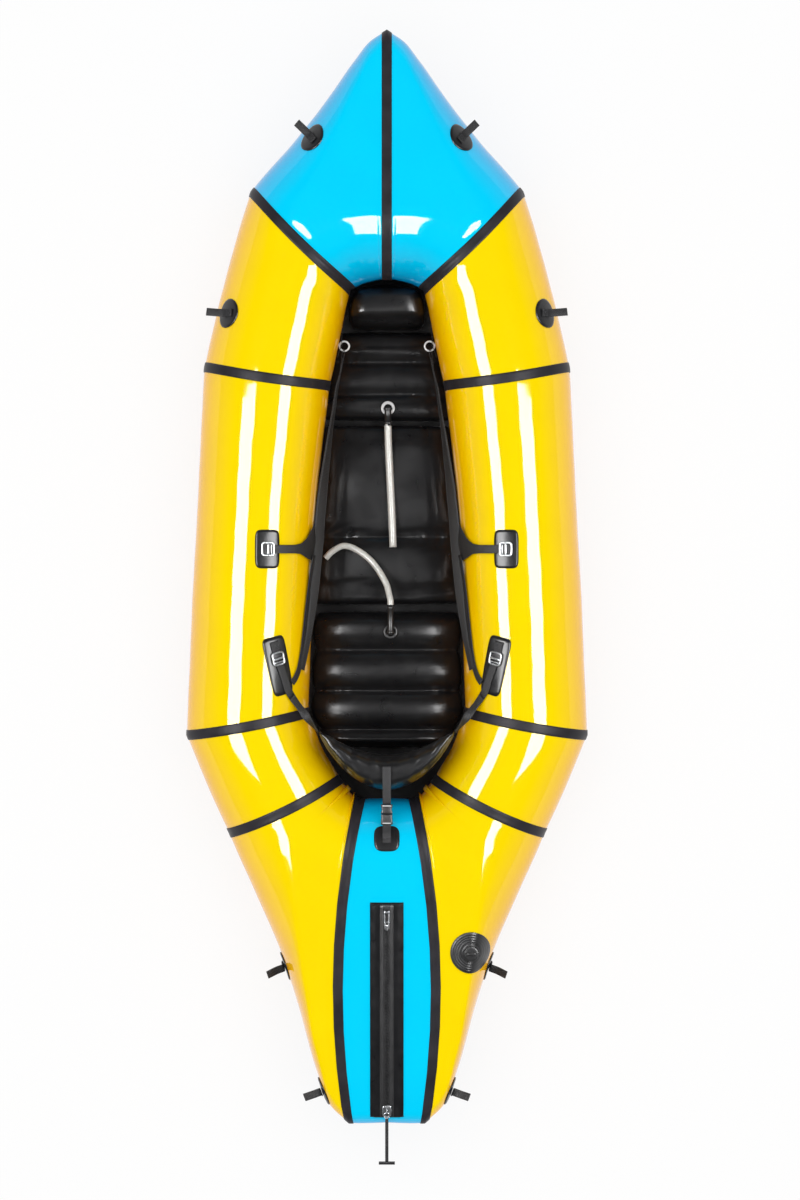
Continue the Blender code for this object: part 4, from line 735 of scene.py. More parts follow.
def back_cushion():
    """Sections across the thickness, from wing to wing.

    They are squared circles whose depth shrinks and whose bottom rises with the square of the share out from
    the middle, and whose front bends towards the bow.
    """
    share = np.linspace(-1, 1, 65)[:, None]
    angle = np.linspace(0, 2 * pi, 44, endpoint=False)[None]
    depth = 0.014 + 0.070 * (1 - share ** 2) - 0.006
    bottom = BACK_BOTTOM + 0.115 * share ** 2 + 0.003
    tall = BACK_BOTTOM + BACK_HEIGHT - 0.004 - bottom
    round_off = 1 - 0.35 * np.abs(share) ** 12
    y = (BACK_HINGE_Y + 0.062 * share ** 2 - 0.003 - depth / 2
         + depth / 2 * rounded(np.cos(angle), 0.62) * round_off)
    z = bottom + tall / 2 + tall / 2 * rounded(np.sin(angle), 0.62) * round_off
    x = 0.1535 * share + 0 * angle
    folds = (np.sin(x * 173 + 2 * np.sin(z * 21)) + 0.6 * np.sin(x * 307 + 14 * z)
             + 0.5 * np.sin(z * 131 + 9 * x))
    edge = np.clip(np.minimum(z - bottom, bottom + tall - z) / 0.05, 0, 1)
    y = y + 0.0011 * folds * np.sign(np.cos(angle)) * (1.3 - edge)
    return np.stack([x, y, z], axis=2)


back = back_cushion()
backrest = mesh_piece("backrest_cushion", back, lofted_faces(*back.shape[:2]), cushion_material,
                      body="backrest")
blow_up(backrest, np.abs(back[..., 0].ravel()) > 0.150, 0.004)
finer(backrest)
fitted(backrest, "backrest")

# Hoses. Two lengths of clear soft tube, pushed over black nozzles that are welded into the front mat and the
# seat; they are blown into to fill the mats, and their free ends lie open on the leg mat.
UP = np.array((0.0, 0.0, 1.0))


def swept(path, normals, outline, closed=False):
    """An outline carried along a path: place + across * a + off * b, off square to the path, across to both.

    The normals are one to a place, or one for the whole path, and so is the outline.
    """
    path = np.asarray(path, float)
    ahead = np.roll(path, -1, axis=0) - np.roll(path, 1, axis=0) if closed else np.gradient(path, axis=0)
    ahead /= np.linalg.norm(ahead, axis=1, keepdims=True)
    across = np.cross(ahead, np.asarray(normals, float))
    across /= np.linalg.norm(across, axis=1, keepdims=True)
    off = np.cross(across, ahead)
    outline = np.asarray(outline, float)
    if outline.ndim == 2:
        outline = np.repeat(outline[None], len(path), axis=0)
    return path[:, None] + across[:, None] * outline[..., :1] + off[:, None] * outline[..., 1:]


def rod(path, normals, outline):
    """Points and faces of a swept outline with a flat face across each end."""
    shape = swept(path, normals, outline)
    return shape, lofted_faces(*shape.shape[:2])


def hoop(path, normals, outline):
    """Points and faces of an outline swept round a closed path."""
    shape = swept(path, normals, outline, closed=True)
    shape = np.concatenate([shape, shape[:1]])
    return shape, grid_faces(*shape.shape[:2], around=True)


def smooth_route(points, steps):
    """Catmull-Rom through the points, with its ends extended straight."""
    keys = np.arange(len(points), dtype=float)
    at = np.linspace(0, len(points) - 1, (len(points) - 1) * steps + 1)
    return smooth_rows(keys, np.asarray(points, float), at)


def circle(radius, count):
    """Points of a circle as pairs."""
    angle = np.linspace(0, 2 * pi, count, endpoint=False)
    return radius * np.column_stack([np.cos(angle), np.sin(angle)])


def joined(*parts):
    """Several (points, faces) as one."""
    points, faces, start = [], [], 0
    for some, sides in parts:
        some = np.asarray(some, float).reshape(-1, 3)
        points.append(some)
        faces += [tuple(int(k) + start for k in side) for side in sides]
        start += len(some)
    return np.concatenate(points), faces


def clear_tube():
    """Soft clear tube: milky, half let through by light, with faint streaks along it."""
    material, tree, shader, place = blank_material("clear_soft_tube")
    streak = noise(tree, place, 160.0, 2.0)
    surface(tree, shader, blended(tree, streak, (0.66, 0.67, 0.64, 1), (0.88, 0.88, 0.85, 1)),
            spread(tree, streak, 0.16, 0.30, 0.0, 1.0), relief(tree, streak, 0.08, 0.0003),
            Transmission_Weight=0.25, IOR=1.45)
    return material


def moulded(name, dark, light, roughness):
    """Moulded plastic: a fine grain, slightly cloudy in tone and gloss."""
    material, tree, shader, place = blank_material(name)
    cloud = noise(tree, place, 70.0, 4.0)
    surface(tree, shader, blended(tree, cloud, dark, light),
            spread(tree, cloud, roughness * 0.85, roughness * 1.2),
            relief(tree, noise(tree, place, 1500.0, 1.0), 0.15, 0.0002))
    return material


hose_material = clear_tube()
black_plastic = moulded("black_moulded_plastic", (0.010, 0.010, 0.011, 1), (0.022, 0.022, 0.024, 1), 0.36)
white_plastic = moulded("white_moulded_plastic", (0.62, 0.63, 0.64, 1), (0.78, 0.79, 0.80, 1), 0.32)
MAT_HOSE = 0.0170
SEAT_HOSE = 0.0146
BORE_SHARE = 0.66
HALF_COCKPIT = COCKPIT_WIDTH / 2
MAT_HOSE_Z = BASE + MAT_HEIGHT + 0.0003 + MAT_HOSE / 2
SEAT_HOSE_Z = BASE + SEAT_HEIGHT + 0.0003 + SEAT_HOSE / 2
LOW_HOSE_Z = BASE + MAT_HEIGHT + 0.0006 + SEAT_HOSE / 2
MAT_MOUTH = (0.002, BOW_TIP - 0.8950, MAT_HOSE_Z)
SEAT_MOUTH = (0.008, SEAT_FRONT + 0.013, SEAT_HOSE_Z)


def hose_piece(name, node, mouth, route, diameter):
    """A tube with a bore: its outer wall runs along the route, turns in at the ends and comes back inside."""
    path = smooth_route(np.concatenate([[mouth], route]), 8)
    outer = swept(path, UP, circle(diameter / 2, 20))
    inner = swept(path, UP, circle(diameter / 2 * BORE_SHARE, 20))
    around = np.concatenate([outer, inner[::-1], outer[:1]])
    piece = mesh_piece(name, around, grid_faces(*around.shape[:2], around=True), hose_material)
    fitted(piece, node)


def nozzle_piece(name, mouth, length, diameter, way):
    """A barrel of revolution lying along the raft, with a collar at its mouth and a flange at its foot."""
    run = np.array([0, 0.004, 0.006, 0.008, length - 0.009, length - 0.008, length - 0.004, length - 0.003,
                    length + 0.006])
    radius = diameter / 2 * np.array([1.18, 1.18, 1.05, 0.94, 0.92, 1.14, 1.14, 0.78, 0.62])
    foot = np.array(mouth) - np.array((0, way * length, diameter * 0.12))
    path = foot + run[:, None] * np.array((0, way, 0))
    barrel = rod(path, UP, radius[:, None, None] * circle(1.0, 28)[None])
    fitted(mesh_piece(name, *barrel, black_plastic))


def collar_piece(name, middle, radius, wire, material):
    """A welded collar lying flat on the mat: a ring whose rod is flattened to a third."""
    spots = circle(radius, 56)
    line = np.column_stack([middle[0] + spots[:, 0], middle[1] + spots[:, 1], np.full(56, middle[2])])
    fitted(mesh_piece(name, *hoop(line, UP, circle(1.0, 12) * (wire, wire / 3)), material))


def hose_places(rows, height):
    """Places on the floor from rows of width share, length share and rise over this height."""
    rows = np.array(rows)
    return np.column_stack([rows[:, 0] * HALF_COCKPIT, BOW_TIP - rows[:, 1] * HULL_LENGTH,
                            height + rows[:, 2]])


MAT_ROUTE = ((0.022284, 0.3840, 0.0), (0.050139, 0.4240, 0.0), (0.077994, 0.4708, 0.0))
SEAT_ROUTE_HIGH = ((0.033426, 0.5168, -0.002), (-0.022284, 0.5032, -0.012))
SEAT_ROUTE_LOW = ((-0.183844, 0.4852, 0.010), (-0.384401, 0.4736, 0.002), (-0.557103, 0.4696, 0.0),
                  (-0.701950, 0.4744, 0.0), (-0.796657, 0.4812, 0.0))
x, y, z = MAT_MOUTH
hose_piece("mat_hose_tube", "mat_hose", (x, y - 0.0003, z),
           np.concatenate([[(x, y - 0.008, z)], hose_places(MAT_ROUTE, MAT_HOSE_Z)]), MAT_HOSE)
collar_piece("mat_nozzle_collar", (x, y + 0.041, BASE + MAT_HEIGHT - 0.0012), 0.0125, 0.0036, white_plastic)
nozzle_piece("mat_nozzle", MAT_MOUTH, 0.042, MAT_HOSE, -1)
x, y, z = SEAT_MOUTH
hose_piece("seat_hose_tube", "seat_hose", (x, y + 0.0003, z),
           np.concatenate([[(x, y + 0.008, z)], hose_places(SEAT_ROUTE_HIGH, SEAT_HOSE_Z),
                           hose_places(SEAT_ROUTE_LOW, LOW_HOSE_Z)]), SEAT_HOSE)
collar_piece("seat_nozzle_collar", (x, y - 0.062, BASE + SEAT_HEIGHT - 0.0040), 0.0130, 0.0030, black_plastic)
nozzle_piece("seat_nozzle", SEAT_MOUTH, 0.06665, SEAT_HOSE, 1)

# Thigh gear. On each side tube a black welded patch carries a steel ladder lock; webbing runs from it to the
# thigh strap, which goes from a white ring under the deck, padded over the thigh, to the long patch behind.
hull_points = np.concatenate([skin.reshape(-1, 3) for skin in skins.values()])
hull_ways = np.concatenate([outward(skin).reshape(-1, 3) for skin in skins.values()])
starts = np.cumsum([0] + [skin[..., 0].size for skin in skins.values()])
hull_faces = [grid_faces(*skin.shape[:2], around=True) + start for skin, start in zip(skins.values(), starts)]
hull_tree = BVHTree.FromPolygons(hull_points.tolist(), np.concatenate(hull_faces).tolist())
BELL = 0.014


def on_hull(start, way):
    """Where a straight line first meets the hull, and the normal there that faces the line's start."""
    place, normal, _, _ = hull_tree.ray_cast(Vector(start), Vector(way).normalized())
    return np.array(place), np.array(normal if normal.dot(Vector(way)) < 0 else -normal)


def on_tube(distance, angle, side):
    """A side tube's place this far behind the bow and this far up from the cockpit, and its normal."""
    ends = np.concatenate([rib_ends(rows) for rows in PANEL_RIBS.values()])
    y = BOW_TIP - distance
    outer = np.interp(y, ends[::-1, 1], -ends[::-1, 0])
    middle = np.array((side * (outer + cockpit_half(y)) / 2, y, TUBE_BASE + TUBE_HEIGHT / 2))
    way = np.array((-side * cos(angle), 0, sin(angle)))
    return on_hull(middle + way * TUBE_HEIGHT, -way)


class Seat:
    """A small saddle of the hull: w off it, v forward along it, u across, and the skin's points around it."""

    def __init__(self, place, normal, forward, reach):
        forward = np.array(forward, float)
        self.w = normal / np.linalg.norm(normal)
        self.v = forward - self.w * (forward @ self.w)
        self.v /= np.linalg.norm(self.v)
        self.u = np.cross(self.v, self.w)
        self.place = place
        near = (np.linalg.norm(hull_points - place, axis=1) < reach) & (hull_ways @ self.w > 0.3)
        off = hull_points[near] - place
        self.near = off @ self.u, off @ self.v, off @ self.w

    def height(self, u, v):
        """The skin's height over a place: a least-squares fit of 1, u, v, u2, uv and v2 about that place.

        A point counts by the bell curve of its distance.
        """
        shape = np.broadcast(u, v).shape
        u, v = (np.broadcast_to(value, shape).reshape(-1, 1) for value in (u, v))
        across, along, tall = self.near
        across, along = (across - u) / BELL, (along - v) / BELL
        counts = np.exp(-(across ** 2 + along ** 2) / 2) + 1e-5
        terms = np.stack([across * 0 + 1, across, along, across ** 2, across * along, along ** 2], axis=2)
        square = np.einsum("mn,mni,mnj->mij", counts, terms, terms)
        fit = np.linalg.solve(square, np.einsum("mn,mni,n->mi", counts, terms, tall)[..., None])
        return fit[:, 0, 0].reshape(shape)

    def lay(self, u, v, lift):
        """Points over the skin at (u, v), this far off it along w."""
        return self.free(u, v, self.height(u, v) + lift)

    def free(self, u, v, w):
        """Points in the seat's own straight directions."""
        u, v, w = np.broadcast_arrays(u, v, w)
        return self.place + u[..., None] * self.u + v[..., None] * self.v + w[..., None] * self.w


def round_rectangle(width, length, corner, rows=15, columns=13):
    """A grid of (u, v) over a rectangle whose rim is a superellipse-cornered line."""
    a, b = np.meshgrid(np.linspace(-1, 1, rows), np.linspace(-1, 1, columns), indexing="ij")
    big = np.maximum(np.abs(a), np.abs(b))
    angle = np.arctan2(a * length, b * width)
    wide, long = np.abs(np.cos(angle)) * 2 / width, np.abs(np.sin(angle)) * 2 / length
    power = 2 * max(width, length) / corner / 3
    soft = (wide ** power + long ** power) ** (-1 / power)
    keep = 1 - big ** 3 * (1 - soft * np.maximum(wide, long))
    return b * width / 2 * keep, a * length / 2 * keep, big


def patch_piece(name, seat, width, length, corner, node):
    """A patch laid on the skin: its top a hair lower towards the rim, where it is welded down."""
    u, v, big = round_rectangle(width, length, corner)
    top = seat.lay(u, v, PATCH_LIFT - 0.0007 * big ** 8 + 0.0001 * np.sin(u * 260) * np.sin(v * 190))
    piece = mesh_piece(name, top, grid_faces(*top.shape[:2]), patch_material)
    turn_to(piece, seat.w)
    thicken(piece, PATCH)
    fitted(piece, node)


def ribbon_outline(width, thick, count=16):
    """The rim of webbing: a flat box with rounded edges, its underside at zero, from the right edge round."""
    angle = np.linspace(0, 2 * pi, count, endpoint=False)
    a = width / 2 * rounded(np.cos(angle), 0.28)
    b = thick / 2 + thick / 2 * rounded(np.sin(angle), 0.55)
    return np.column_stack([a, b])


def webbing_piece(name, path, normals, widths, thick, body="hull"):
    """Webbing along a path, its pattern laid on by a UV map: metres across and metres along."""
    path = np.asarray(path, float)
    widths = np.broadcast_to(np.asarray(widths, float), (len(path),))
    thick = np.broadcast_to(np.asarray(thick, float), (len(path),))
    outline = np.stack([ribbon_outline(w, t) for w, t in zip(widths, thick)])
    along = np.concatenate([[0], np.cumsum(np.linalg.norm(np.diff(path, axis=0), axis=1))])
    uv = np.stack([outline[..., 0], np.repeat(along[:, None], outline.shape[1], axis=1)], axis=2)
    piece = mesh_piece(name, *rod(path, normals, outline), webbing_material, body=body, uv=uv)
    fitted(piece)
    return piece


def woven_webbing(name, dark, light, gloss):
    """Nylon webbing: slanted floats across a ribbed strap, on its own UV map; their crowns are painted
    lighter as sheen.
    """
    material, tree, shader, _ = blank_material(name)
    place = new_node(tree, "ShaderNodeUVMap").outputs[0]
    threads = weave(tree, place, (120.0, "DIAGONAL"), (95.0, "Y"), wobble=0.6)
    # The weave sets the colour: partly the threads' own pattern, partly painted sheen on the crowns and
    # painted shade in the hollows between them.
    surface(tree, shader, blended(tree, threads, dark, light),
            spread(tree, threads, gloss * 1.2, gloss * 0.8, 0.0, 1.0), relief(tree, threads, 0.6, 0.0005),
            Specular_IOR_Level=0.3)
    return material


def brushed_steel():
    """Stainless steel: fine scratches along one way and small differences in polish."""
    material, tree, shader, place = blank_material("stainless_steel")
    stretch = new_node(tree, "ShaderNodeMapping", Vector=place, Scale=(900.0, 60.0, 900.0)).outputs[0]
    scratch = noise(tree, stretch, 1.0, 3.0)
    surface(tree, shader, blended(tree, scratch, (0.30, 0.31, 0.33, 1), (0.60, 0.61, 0.63, 1)),
            spread(tree, scratch, 0.20, 0.38, 0.0, 1.0), relief(tree, scratch, 0.1, 0.0001), Metallic=1.0)
    return material


patch_material = rubbed_cloth("black_patch_rubber", (0.008, 0.008, 0.009, 1), (0.017, 0.017, 0.019, 1), 30.0,
                              0.5, 0.0004)
webbing_material = woven_webbing("black_webbing", (0.008, 0.008, 0.009, 1), (0.045, 0.044, 0.048, 1), 0.55)
thread_material = woven_webbing("grey_bar_tack_thread", (0.05, 0.05, 0.055, 1), (0.16, 0.16, 0.17, 1), 0.5)
steel = brushed_steel()
PATCH = 0.0012
PATCH_LIFT = 0.0018
LOCK_LENGTH = 0.032
LOCK_WIDTH = 0.034
LOCK_BAR = 0.0045
LOCK_LOW = 0.0007 + PATCH + 0.0011
STRAP_WIDTH = 0.019
STRAP = 0.0020


def lock_piece(name, seat, turn, at=0.0):
    """A ladder lock: a rounded frame, a bar across its middle, a thinner one beside it, all flattened rods.

    The frame's line is a superellipse; the bars are straight and end inside the frame.
    """
    angle = np.linspace(0, 2 * pi, 48, endpoint=False)
    inner_width, inner_length = LOCK_WIDTH - LOCK_BAR, LOCK_LENGTH - LOCK_BAR
    low = seat.height(0.0, at) + LOCK_LOW + 0.0020
    rim = circle(1.0, 12) * np.array((LOCK_BAR / 2, 0.0020))

    def placed(a, b):
        u, v = a * cos(turn) - b * sin(turn), a * sin(turn) + b * cos(turn)
        return seat.free(u, v + at, low)

    frame_line = placed(inner_width / 2 * rounded(np.cos(angle), 0.38),
                        inner_length / 2 * rounded(np.sin(angle), 0.38))
    parts = [hoop(frame_line, seat.w, rim)]
    for level, thick in ((0.0, 1.0), (-inner_length * 0.30, 0.62)):
        span = np.linspace(-1, 1, 5) * inner_width / 2
        parts.append(rod(placed(span, span * 0 + level), seat.w, rim * thick))
    lock = mesh_piece(name + "_ladder", *joined(*parts), steel, body=name)
    fitted(lock, name)


def stitch_line(points, normals, pitch=0.0032, radius=0.00035):
    """A sewn line: a thread that rises out of the cloth and dips back into it once a stitch."""
    points = np.asarray(points, float)
    normals = np.broadcast_to(np.asarray(normals, float), points.shape)
    run = np.concatenate([[0], np.cumsum(np.linalg.norm(np.diff(points, axis=0), axis=1))])
    count = max(8, int(run[-1] / pitch) * 6)
    at = np.linspace(0, run[-1], count)
    path = np.column_stack([np.interp(at, run, points[:, k]) for k in range(3)])
    off = np.column_stack([np.interp(at, run, normals[:, k]) for k in range(3)])
    off /= np.linalg.norm(off, axis=1, keepdims=True)
    path = path + off * (radius * 1.1 * np.cos(2 * pi * at / pitch))[:, None]
    return rod(path, off, circle(radius, 6))


def cross_tack(name, seat, half_width, middle, half_length, lift):
    """A box of stitches with a cross in it, sewn on a seat."""
    corners = np.array([(-1, -1), (1, -1), (1, 1), (-1, 1), (-1, -1), (1, 1), (1, -1), (-1, 1)])
    at = np.linspace(0, 7, 57)
    u, v = (np.interp(at, range(8), corners[:, k]) for k in (0, 1))
    line = seat.lay(half_width * u, middle + half_length * v, lift)
    fitted(mesh_piece(name, *stitch_line(line, seat.w), thread_material))


def tube_route(rows, side, steps):
    """Places and normals along a route of (distance, angle in degrees, lift) on a side tube."""
    rows = smooth_route(rows, steps)
    hits = [on_tube(distance, radians(angle), side) for distance, angle, _ in rows]
    normals = np.array([normal for _, normal in hits])
    smooth = (np.roll(normals, 1, axis=0) + normals + np.roll(normals, -1, axis=0))[1:-1]
    normals[1:-1] = smooth / np.linalg.norm(smooth, axis=1, keepdims=True)
    return np.array([place for place, _ in hits]) + normals * rows[:, 2:], normals


# Routes are rows of distance behind the bow, degrees up from the cockpit side, and lift off the skin.
THIGH_ROUTE = ((0.741, 0.0, 0.0137), (0.800, 3.0, 0.0160), (0.886, 6.0, 0.0140), (0.980, 8.0, 0.0120),
               (1.070, 10.0, 0.0110), (1.150, 13.0, 0.0110), (1.214, 16.0, 0.0110), (1.290, 19.0, 0.0100),
               (1.370, 24.0, 0.0075), (1.430, 30.0, 0.0050), (1.458, 33.0, 0.0035))
THIGH_FACE = (0.0, 0.1, 0.2, 0.5, 0.8, 1.0, 1.0, 0.9, 0.6, 0.3, 0.1)
THIGH_WIDTHS = (0.020, 0.022, 0.024, 0.029, 0.030, 0.030, 0.028, 0.024, 0.018, 0.017, 0.017)
THIGH_THICK = (0.0020, 0.0022, 0.0030, 0.0046, 0.0050, 0.0050, 0.0046, 0.0034, 0.0022, 0.0020, 0.0020)
ANCHOR_ROUTE = ((1.196, 22.0, 0.0100), (1.260, 25.0, 0.0050), (1.350, 29.0, 0.0030), (1.430, 34.0, 0.0028),
                (1.470, 40.0, 0.0028), (1.488, 46.0, 0.0030))
SIDE_PATCH_ANGLE = radians(77.0)
SIDE_LOCK_EDGE = np.degrees(SIDE_PATCH_ANGLE - LOCK_LENGTH / TUBE_HEIGHT) + 3.0
SIDE_ROUTE = ((1.184, SIDE_LOCK_EDGE, 0.0045), (1.184, 60.0, 0.0042), (1.183, 45.0, 0.0040),
              (1.180, 30.0, 0.0045), (1.170, 17.0, 0.0070))
SIDE_WIDTHS = ((0, 0.40, 0.55, 0.80, 1), (0.019, 0.019, 0.024, 0.062, 0.098))
RING_LOOP_ROUTE = ((0.800, 3.0, 0.0172), (0.765, 1.0, 0.0172), (0.741, 0.0, 0.0165), (0.728, 0.0, 0.0162),
                   (0.721, 0.0, 0.0140), (0.728, 0.0, 0.0112), (0.741, 0.0, 0.0120), (0.765, 1.0, 0.0135))
RING_TAB_RUN = np.array([-0.028, -0.020, -0.012, -0.006, 0.0, 0.006, 0.012, 0.020, 0.028])
RING_TAB_LIFT = np.array([0.0024, 0.0025, 0.0032, 0.0052, 0.0062, 0.0052, 0.0032, 0.0025, 0.0024])
REAR_PATCH_LENGTH = 0.135
REAR_PATCH_TURN = radians(16.5)
REAR_LOCK_AT = REAR_PATCH_LENGTH / 8

for word, side in (("left", -1), ("right", 1)):
    seat = Seat(*on_tube(1.184, SIDE_PATCH_ANGLE, side), (0, 1, 0), 0.075)
    patch_piece("side_patch_" + word + "_cloth", seat, 0.057, 0.088, 0.010, "side_patch_" + word)
    lock_piece("side_lock_" + word, seat, -side * pi / 2)

    path, normals = tube_route(THIGH_ROUTE, side, 5)
    keys = np.arange(len(THIGH_ROUTE))
    spots = np.linspace(0, keys[-1], len(path))
    face, widths, thick = (np.interp(spots, keys, row) for row in (THIGH_FACE, THIGH_WIDTHS, THIGH_THICK))
    normals = normals + face[:, None] * UP
    normals /= np.linalg.norm(normals, axis=1, keepdims=True)
    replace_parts(webbing_piece("thigh_strap_" + word + "_band", path, normals, widths, thick),
                "thigh_strap_" + word)
    across = np.cross(np.gradient(path, axis=0), normals)
    across /= np.linalg.norm(across, axis=1, keepdims=True)
    edge = across * (widths / 2 - 0.003)[:, None]
    hems = [stitch_line(path + half * edge + normals * thick[:, None], normals) for half in (-1, 1)]
    fitted(mesh_piece("thigh_hem_" + word, *joined(*hems), thread_material))
    webbing_piece("thigh_anchor_" + word, *tube_route(ANCHOR_ROUTE, side, 5), 0.016, 0.0018)

    path, normals = tube_route(SIDE_ROUTE, side, 6)
    flare = np.interp(np.linspace(0, 1, len(path)), *SIDE_WIDTHS)
    cross = webbing_piece("side_webbing_" + word, path, normals, flare, 0.0022, body=None)
    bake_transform(cross)

    seat = Seat(*on_tube(0.713, 0.0, side), (0, 1, 0), 0.05)
    ring_line = 0.011 * circle(1.0, 40)
    ring_path = seat.free(0 * ring_line[:, 0], ring_line[:, 0], 0.0133 + ring_line[:, 1])
    ring = mesh_piece("front_ring_" + word + "_hoop", *hoop(ring_path, seat.u, circle(0.0021, 12)),
                      white_plastic, body="front_ring_" + word)
    fitted(ring, "front_ring_" + word)
    webbing_piece("ring_tab_" + word, seat.lay(0 * RING_TAB_RUN, RING_TAB_RUN, RING_TAB_LIFT), seat.w, 0.016,
                  0.0014)
    webbing_piece("ring_loop_" + word, *tube_route(RING_LOOP_ROUTE, side, 4), 0.016, 0.0013)

    seat = Seat(*on_tube(1.449, radians(61.0), side),
                (side * sin(REAR_PATCH_TURN), cos(REAR_PATCH_TURN), 0), 0.105)
    patch_piece("rear_patch_" + word + "_cloth", seat, 0.056, REAR_PATCH_LENGTH, 0.012, "rear_patch_" + word)
    lock_piece("rear_lock_" + word, seat, 0.0, REAR_LOCK_AT)
    v = np.linspace(REAR_LOCK_AT + 0.013, REAR_LOCK_AT + 0.040, 8)
    webbing_piece("rear_lock_loop_" + word, seat.lay(0 * v, v, 0.0021), seat.w, 0.022, 0.0018)
    cross_tack("rear_tack_" + word, seat, 0.008, REAR_LOCK_AT + 0.0295, 0.008, 0.0040)

    share = np.linspace(0, 1, 7)
    start = seat.lay(-side * share * 0.011, REAR_LOCK_AT - LOCK_LENGTH / 2 + 0.004 - share * 0.0675, 0.0038)
    leaving, leaving_way = on_tube(1.534, radians(41.0), side)
    leaving = leaving + leaving_way * 0.006
    wing = np.array((side * 0.1552, BACK_HINGE_Y + 0.055, 0.262))
    keys = np.concatenate([start[::2], [leaving, leaving * 0.5 + wing * 0.5, wing]])
    ways = np.concatenate([np.tile(seat.w, (4, 1)), [leaving_way, (leaving_way + (side, 0, 0)) / 2,
                                                     (side, 0, 0)]])
    path, normals = smooth_route(keys, 6), smooth_route(ways, 6)
    normals /= np.linalg.norm(normals, axis=1, keepdims=True)
    strap = webbing_piece("rear_strap_" + word + "_band", path[:22], normals[:22], STRAP_WIDTH, STRAP,
                          body=None)
    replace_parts(strap, "rear_strap_" + word)
    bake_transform(strap)
    lead = webbing_piece("rear_strap_" + word + "_lead", path[21:], normals[21:], STRAP_WIDTH, STRAP,
                         body=None)
    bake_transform(lead)

# Tie-downs. Eight round black patches, each with a short loop of folded webbing sewn down with a cross; cord
# or a pack on deck is lashed to them.
TIE_DISC = 0.068
TAB_LENGTH = 0.052
TAB_WIDTH = 0.018


def disc_piece(name, seat, diameter, profile, material, node):
    """A disc laid on the skin as rings and spokes: its lift is a profile of the share out from the middle."""
    share = np.linspace(0.001, 1, len(profile))
    ring = circle(1.0, 60)
    u, v = (diameter / 2 * share[:, None] * ring[:, k] for k in (0, 1))
    top = seat.lay(u, v, np.repeat(np.array(profile)[:, None], 60, axis=1))
    faces = [tuple(face) for face in grid_faces(len(profile), 60, around=True)] + [tuple(range(60))]
    disc = mesh_piece(name, top, faces, material)
    turn_to(disc, seat.w)
    thicken(disc, 0.0020)
    fitted(disc, node)


def tie_piece(name, place, normal, towards, lean):
    """A disc with a raised welded rim, a folded tab that leans out of its middle, and its stitches."""
    seat = Seat(place, normal, towards, 0.06)
    share = np.linspace(0, 1, 14)
    profile = (0.0030 - 0.0004 * (share > 0.93) - 0.0010 * share ** 12
               + 0.0004 * np.exp(-((share - 0.86) / 0.05) ** 2))
    disc_piece(name + "_disc", seat, TIE_DISC, profile, patch_material, name)
    reach, rise = TAB_LENGTH * cos(lean), TAB_LENGTH * sin(lean)
    u = np.zeros(9)
    v = np.array([-0.018, -0.010, -0.002, 0.006, 0.012, reach * 0.55, reach * 0.85, reach * 0.97, reach])
    w = np.array([0.0032, 0.0034, 0.0036, 0.0042, 0.0062, rise * 0.50, rise * 0.84, rise * 0.97, rise])
    w = w + float(seat.height(0.0, 0.0))
    w = np.where(v < 0.010, np.maximum(w, seat.height(u, v) + 0.0032), w)
    path = smooth_route(seat.free(u, v, w), 4)
    thick = np.full(len(path), 0.0034)
    thick[-3:] = (0.0030, 0.0022, 0.0008)
    webbing_piece(name + "_tab", path, seat.w - seat.v * 0.2, TAB_WIDTH, thick)
    cross_tack(name + "_tack", seat, 0.0065, -0.009, 0.0065, 0.0070)


# The first two pairs are found from above by shares of width and length, the others from the side by shares
# of length and tube height. Each way is where the tab points: outwards, forward and up.
for word, side in (("left", -1), ("right", 1)):
    for name, across, along, way in (("bow_tie", 0.184382, 0.0992, (1.0, 0.8, 0.3)),
                                     ("front_tie", 0.392625, 0.2584, (1.0, 0.1, -0.2))):
        hit = on_hull((side * across * HULL_WIDTH, BOW_TIP - along * HULL_LENGTH, 2.0), -UP)
        tie_piece(name + "_" + word, *hit, (side * way[0], way[1], way[2]), radians(33.0))
    for name, along, up, way in (("stern_tie", 0.8556, 0.5862, (0.2, -0.3, 1.0)),
                                 ("tail_tie", 0.9688, 0.7300, (0.2, 0.1, 1.0))):
        hit = on_hull((side * 2.0, BOW_TIP - along * HULL_LENGTH, up * TUBE_HEIGHT), (-side, 0, 0))
        tie_piece(name + "_" + word, *hit, (side * way[0], way[1], way[2]), radians(60.0))

# Main valve. A black moulded valve in a wide welded flange with pressed rings; its cap screws on, and has a
# bar across it for wet fingers.
VALVE_FLANGE = 0.094
CAP_RADIUS = 0.017
CAP_LOW = 0.0014 + 0.0012 + 0.011 + 0.0003
CAP_FLUTES = 24
seat = Seat(*on_hull((0.207158 * HULL_WIDTH, BOW_TIP - 0.84 * HULL_LENGTH, 2.0), -UP), (0, 1, 0), 0.075)
share = np.linspace(0, 1, 46)
profile = 0.0036 - 0.0016 * share ** 16 + 0.0003 * np.cos(share * 2 * pi * 9) * (share > 0.45)
profile = np.where(share < 0.425, 0.0130, profile) - 0.0016 * (np.abs(share - 0.435) < 0.012)
disc_piece("valve_flange_rings", seat, VALVE_FLANGE, profile, black_plastic, "valve_flange")

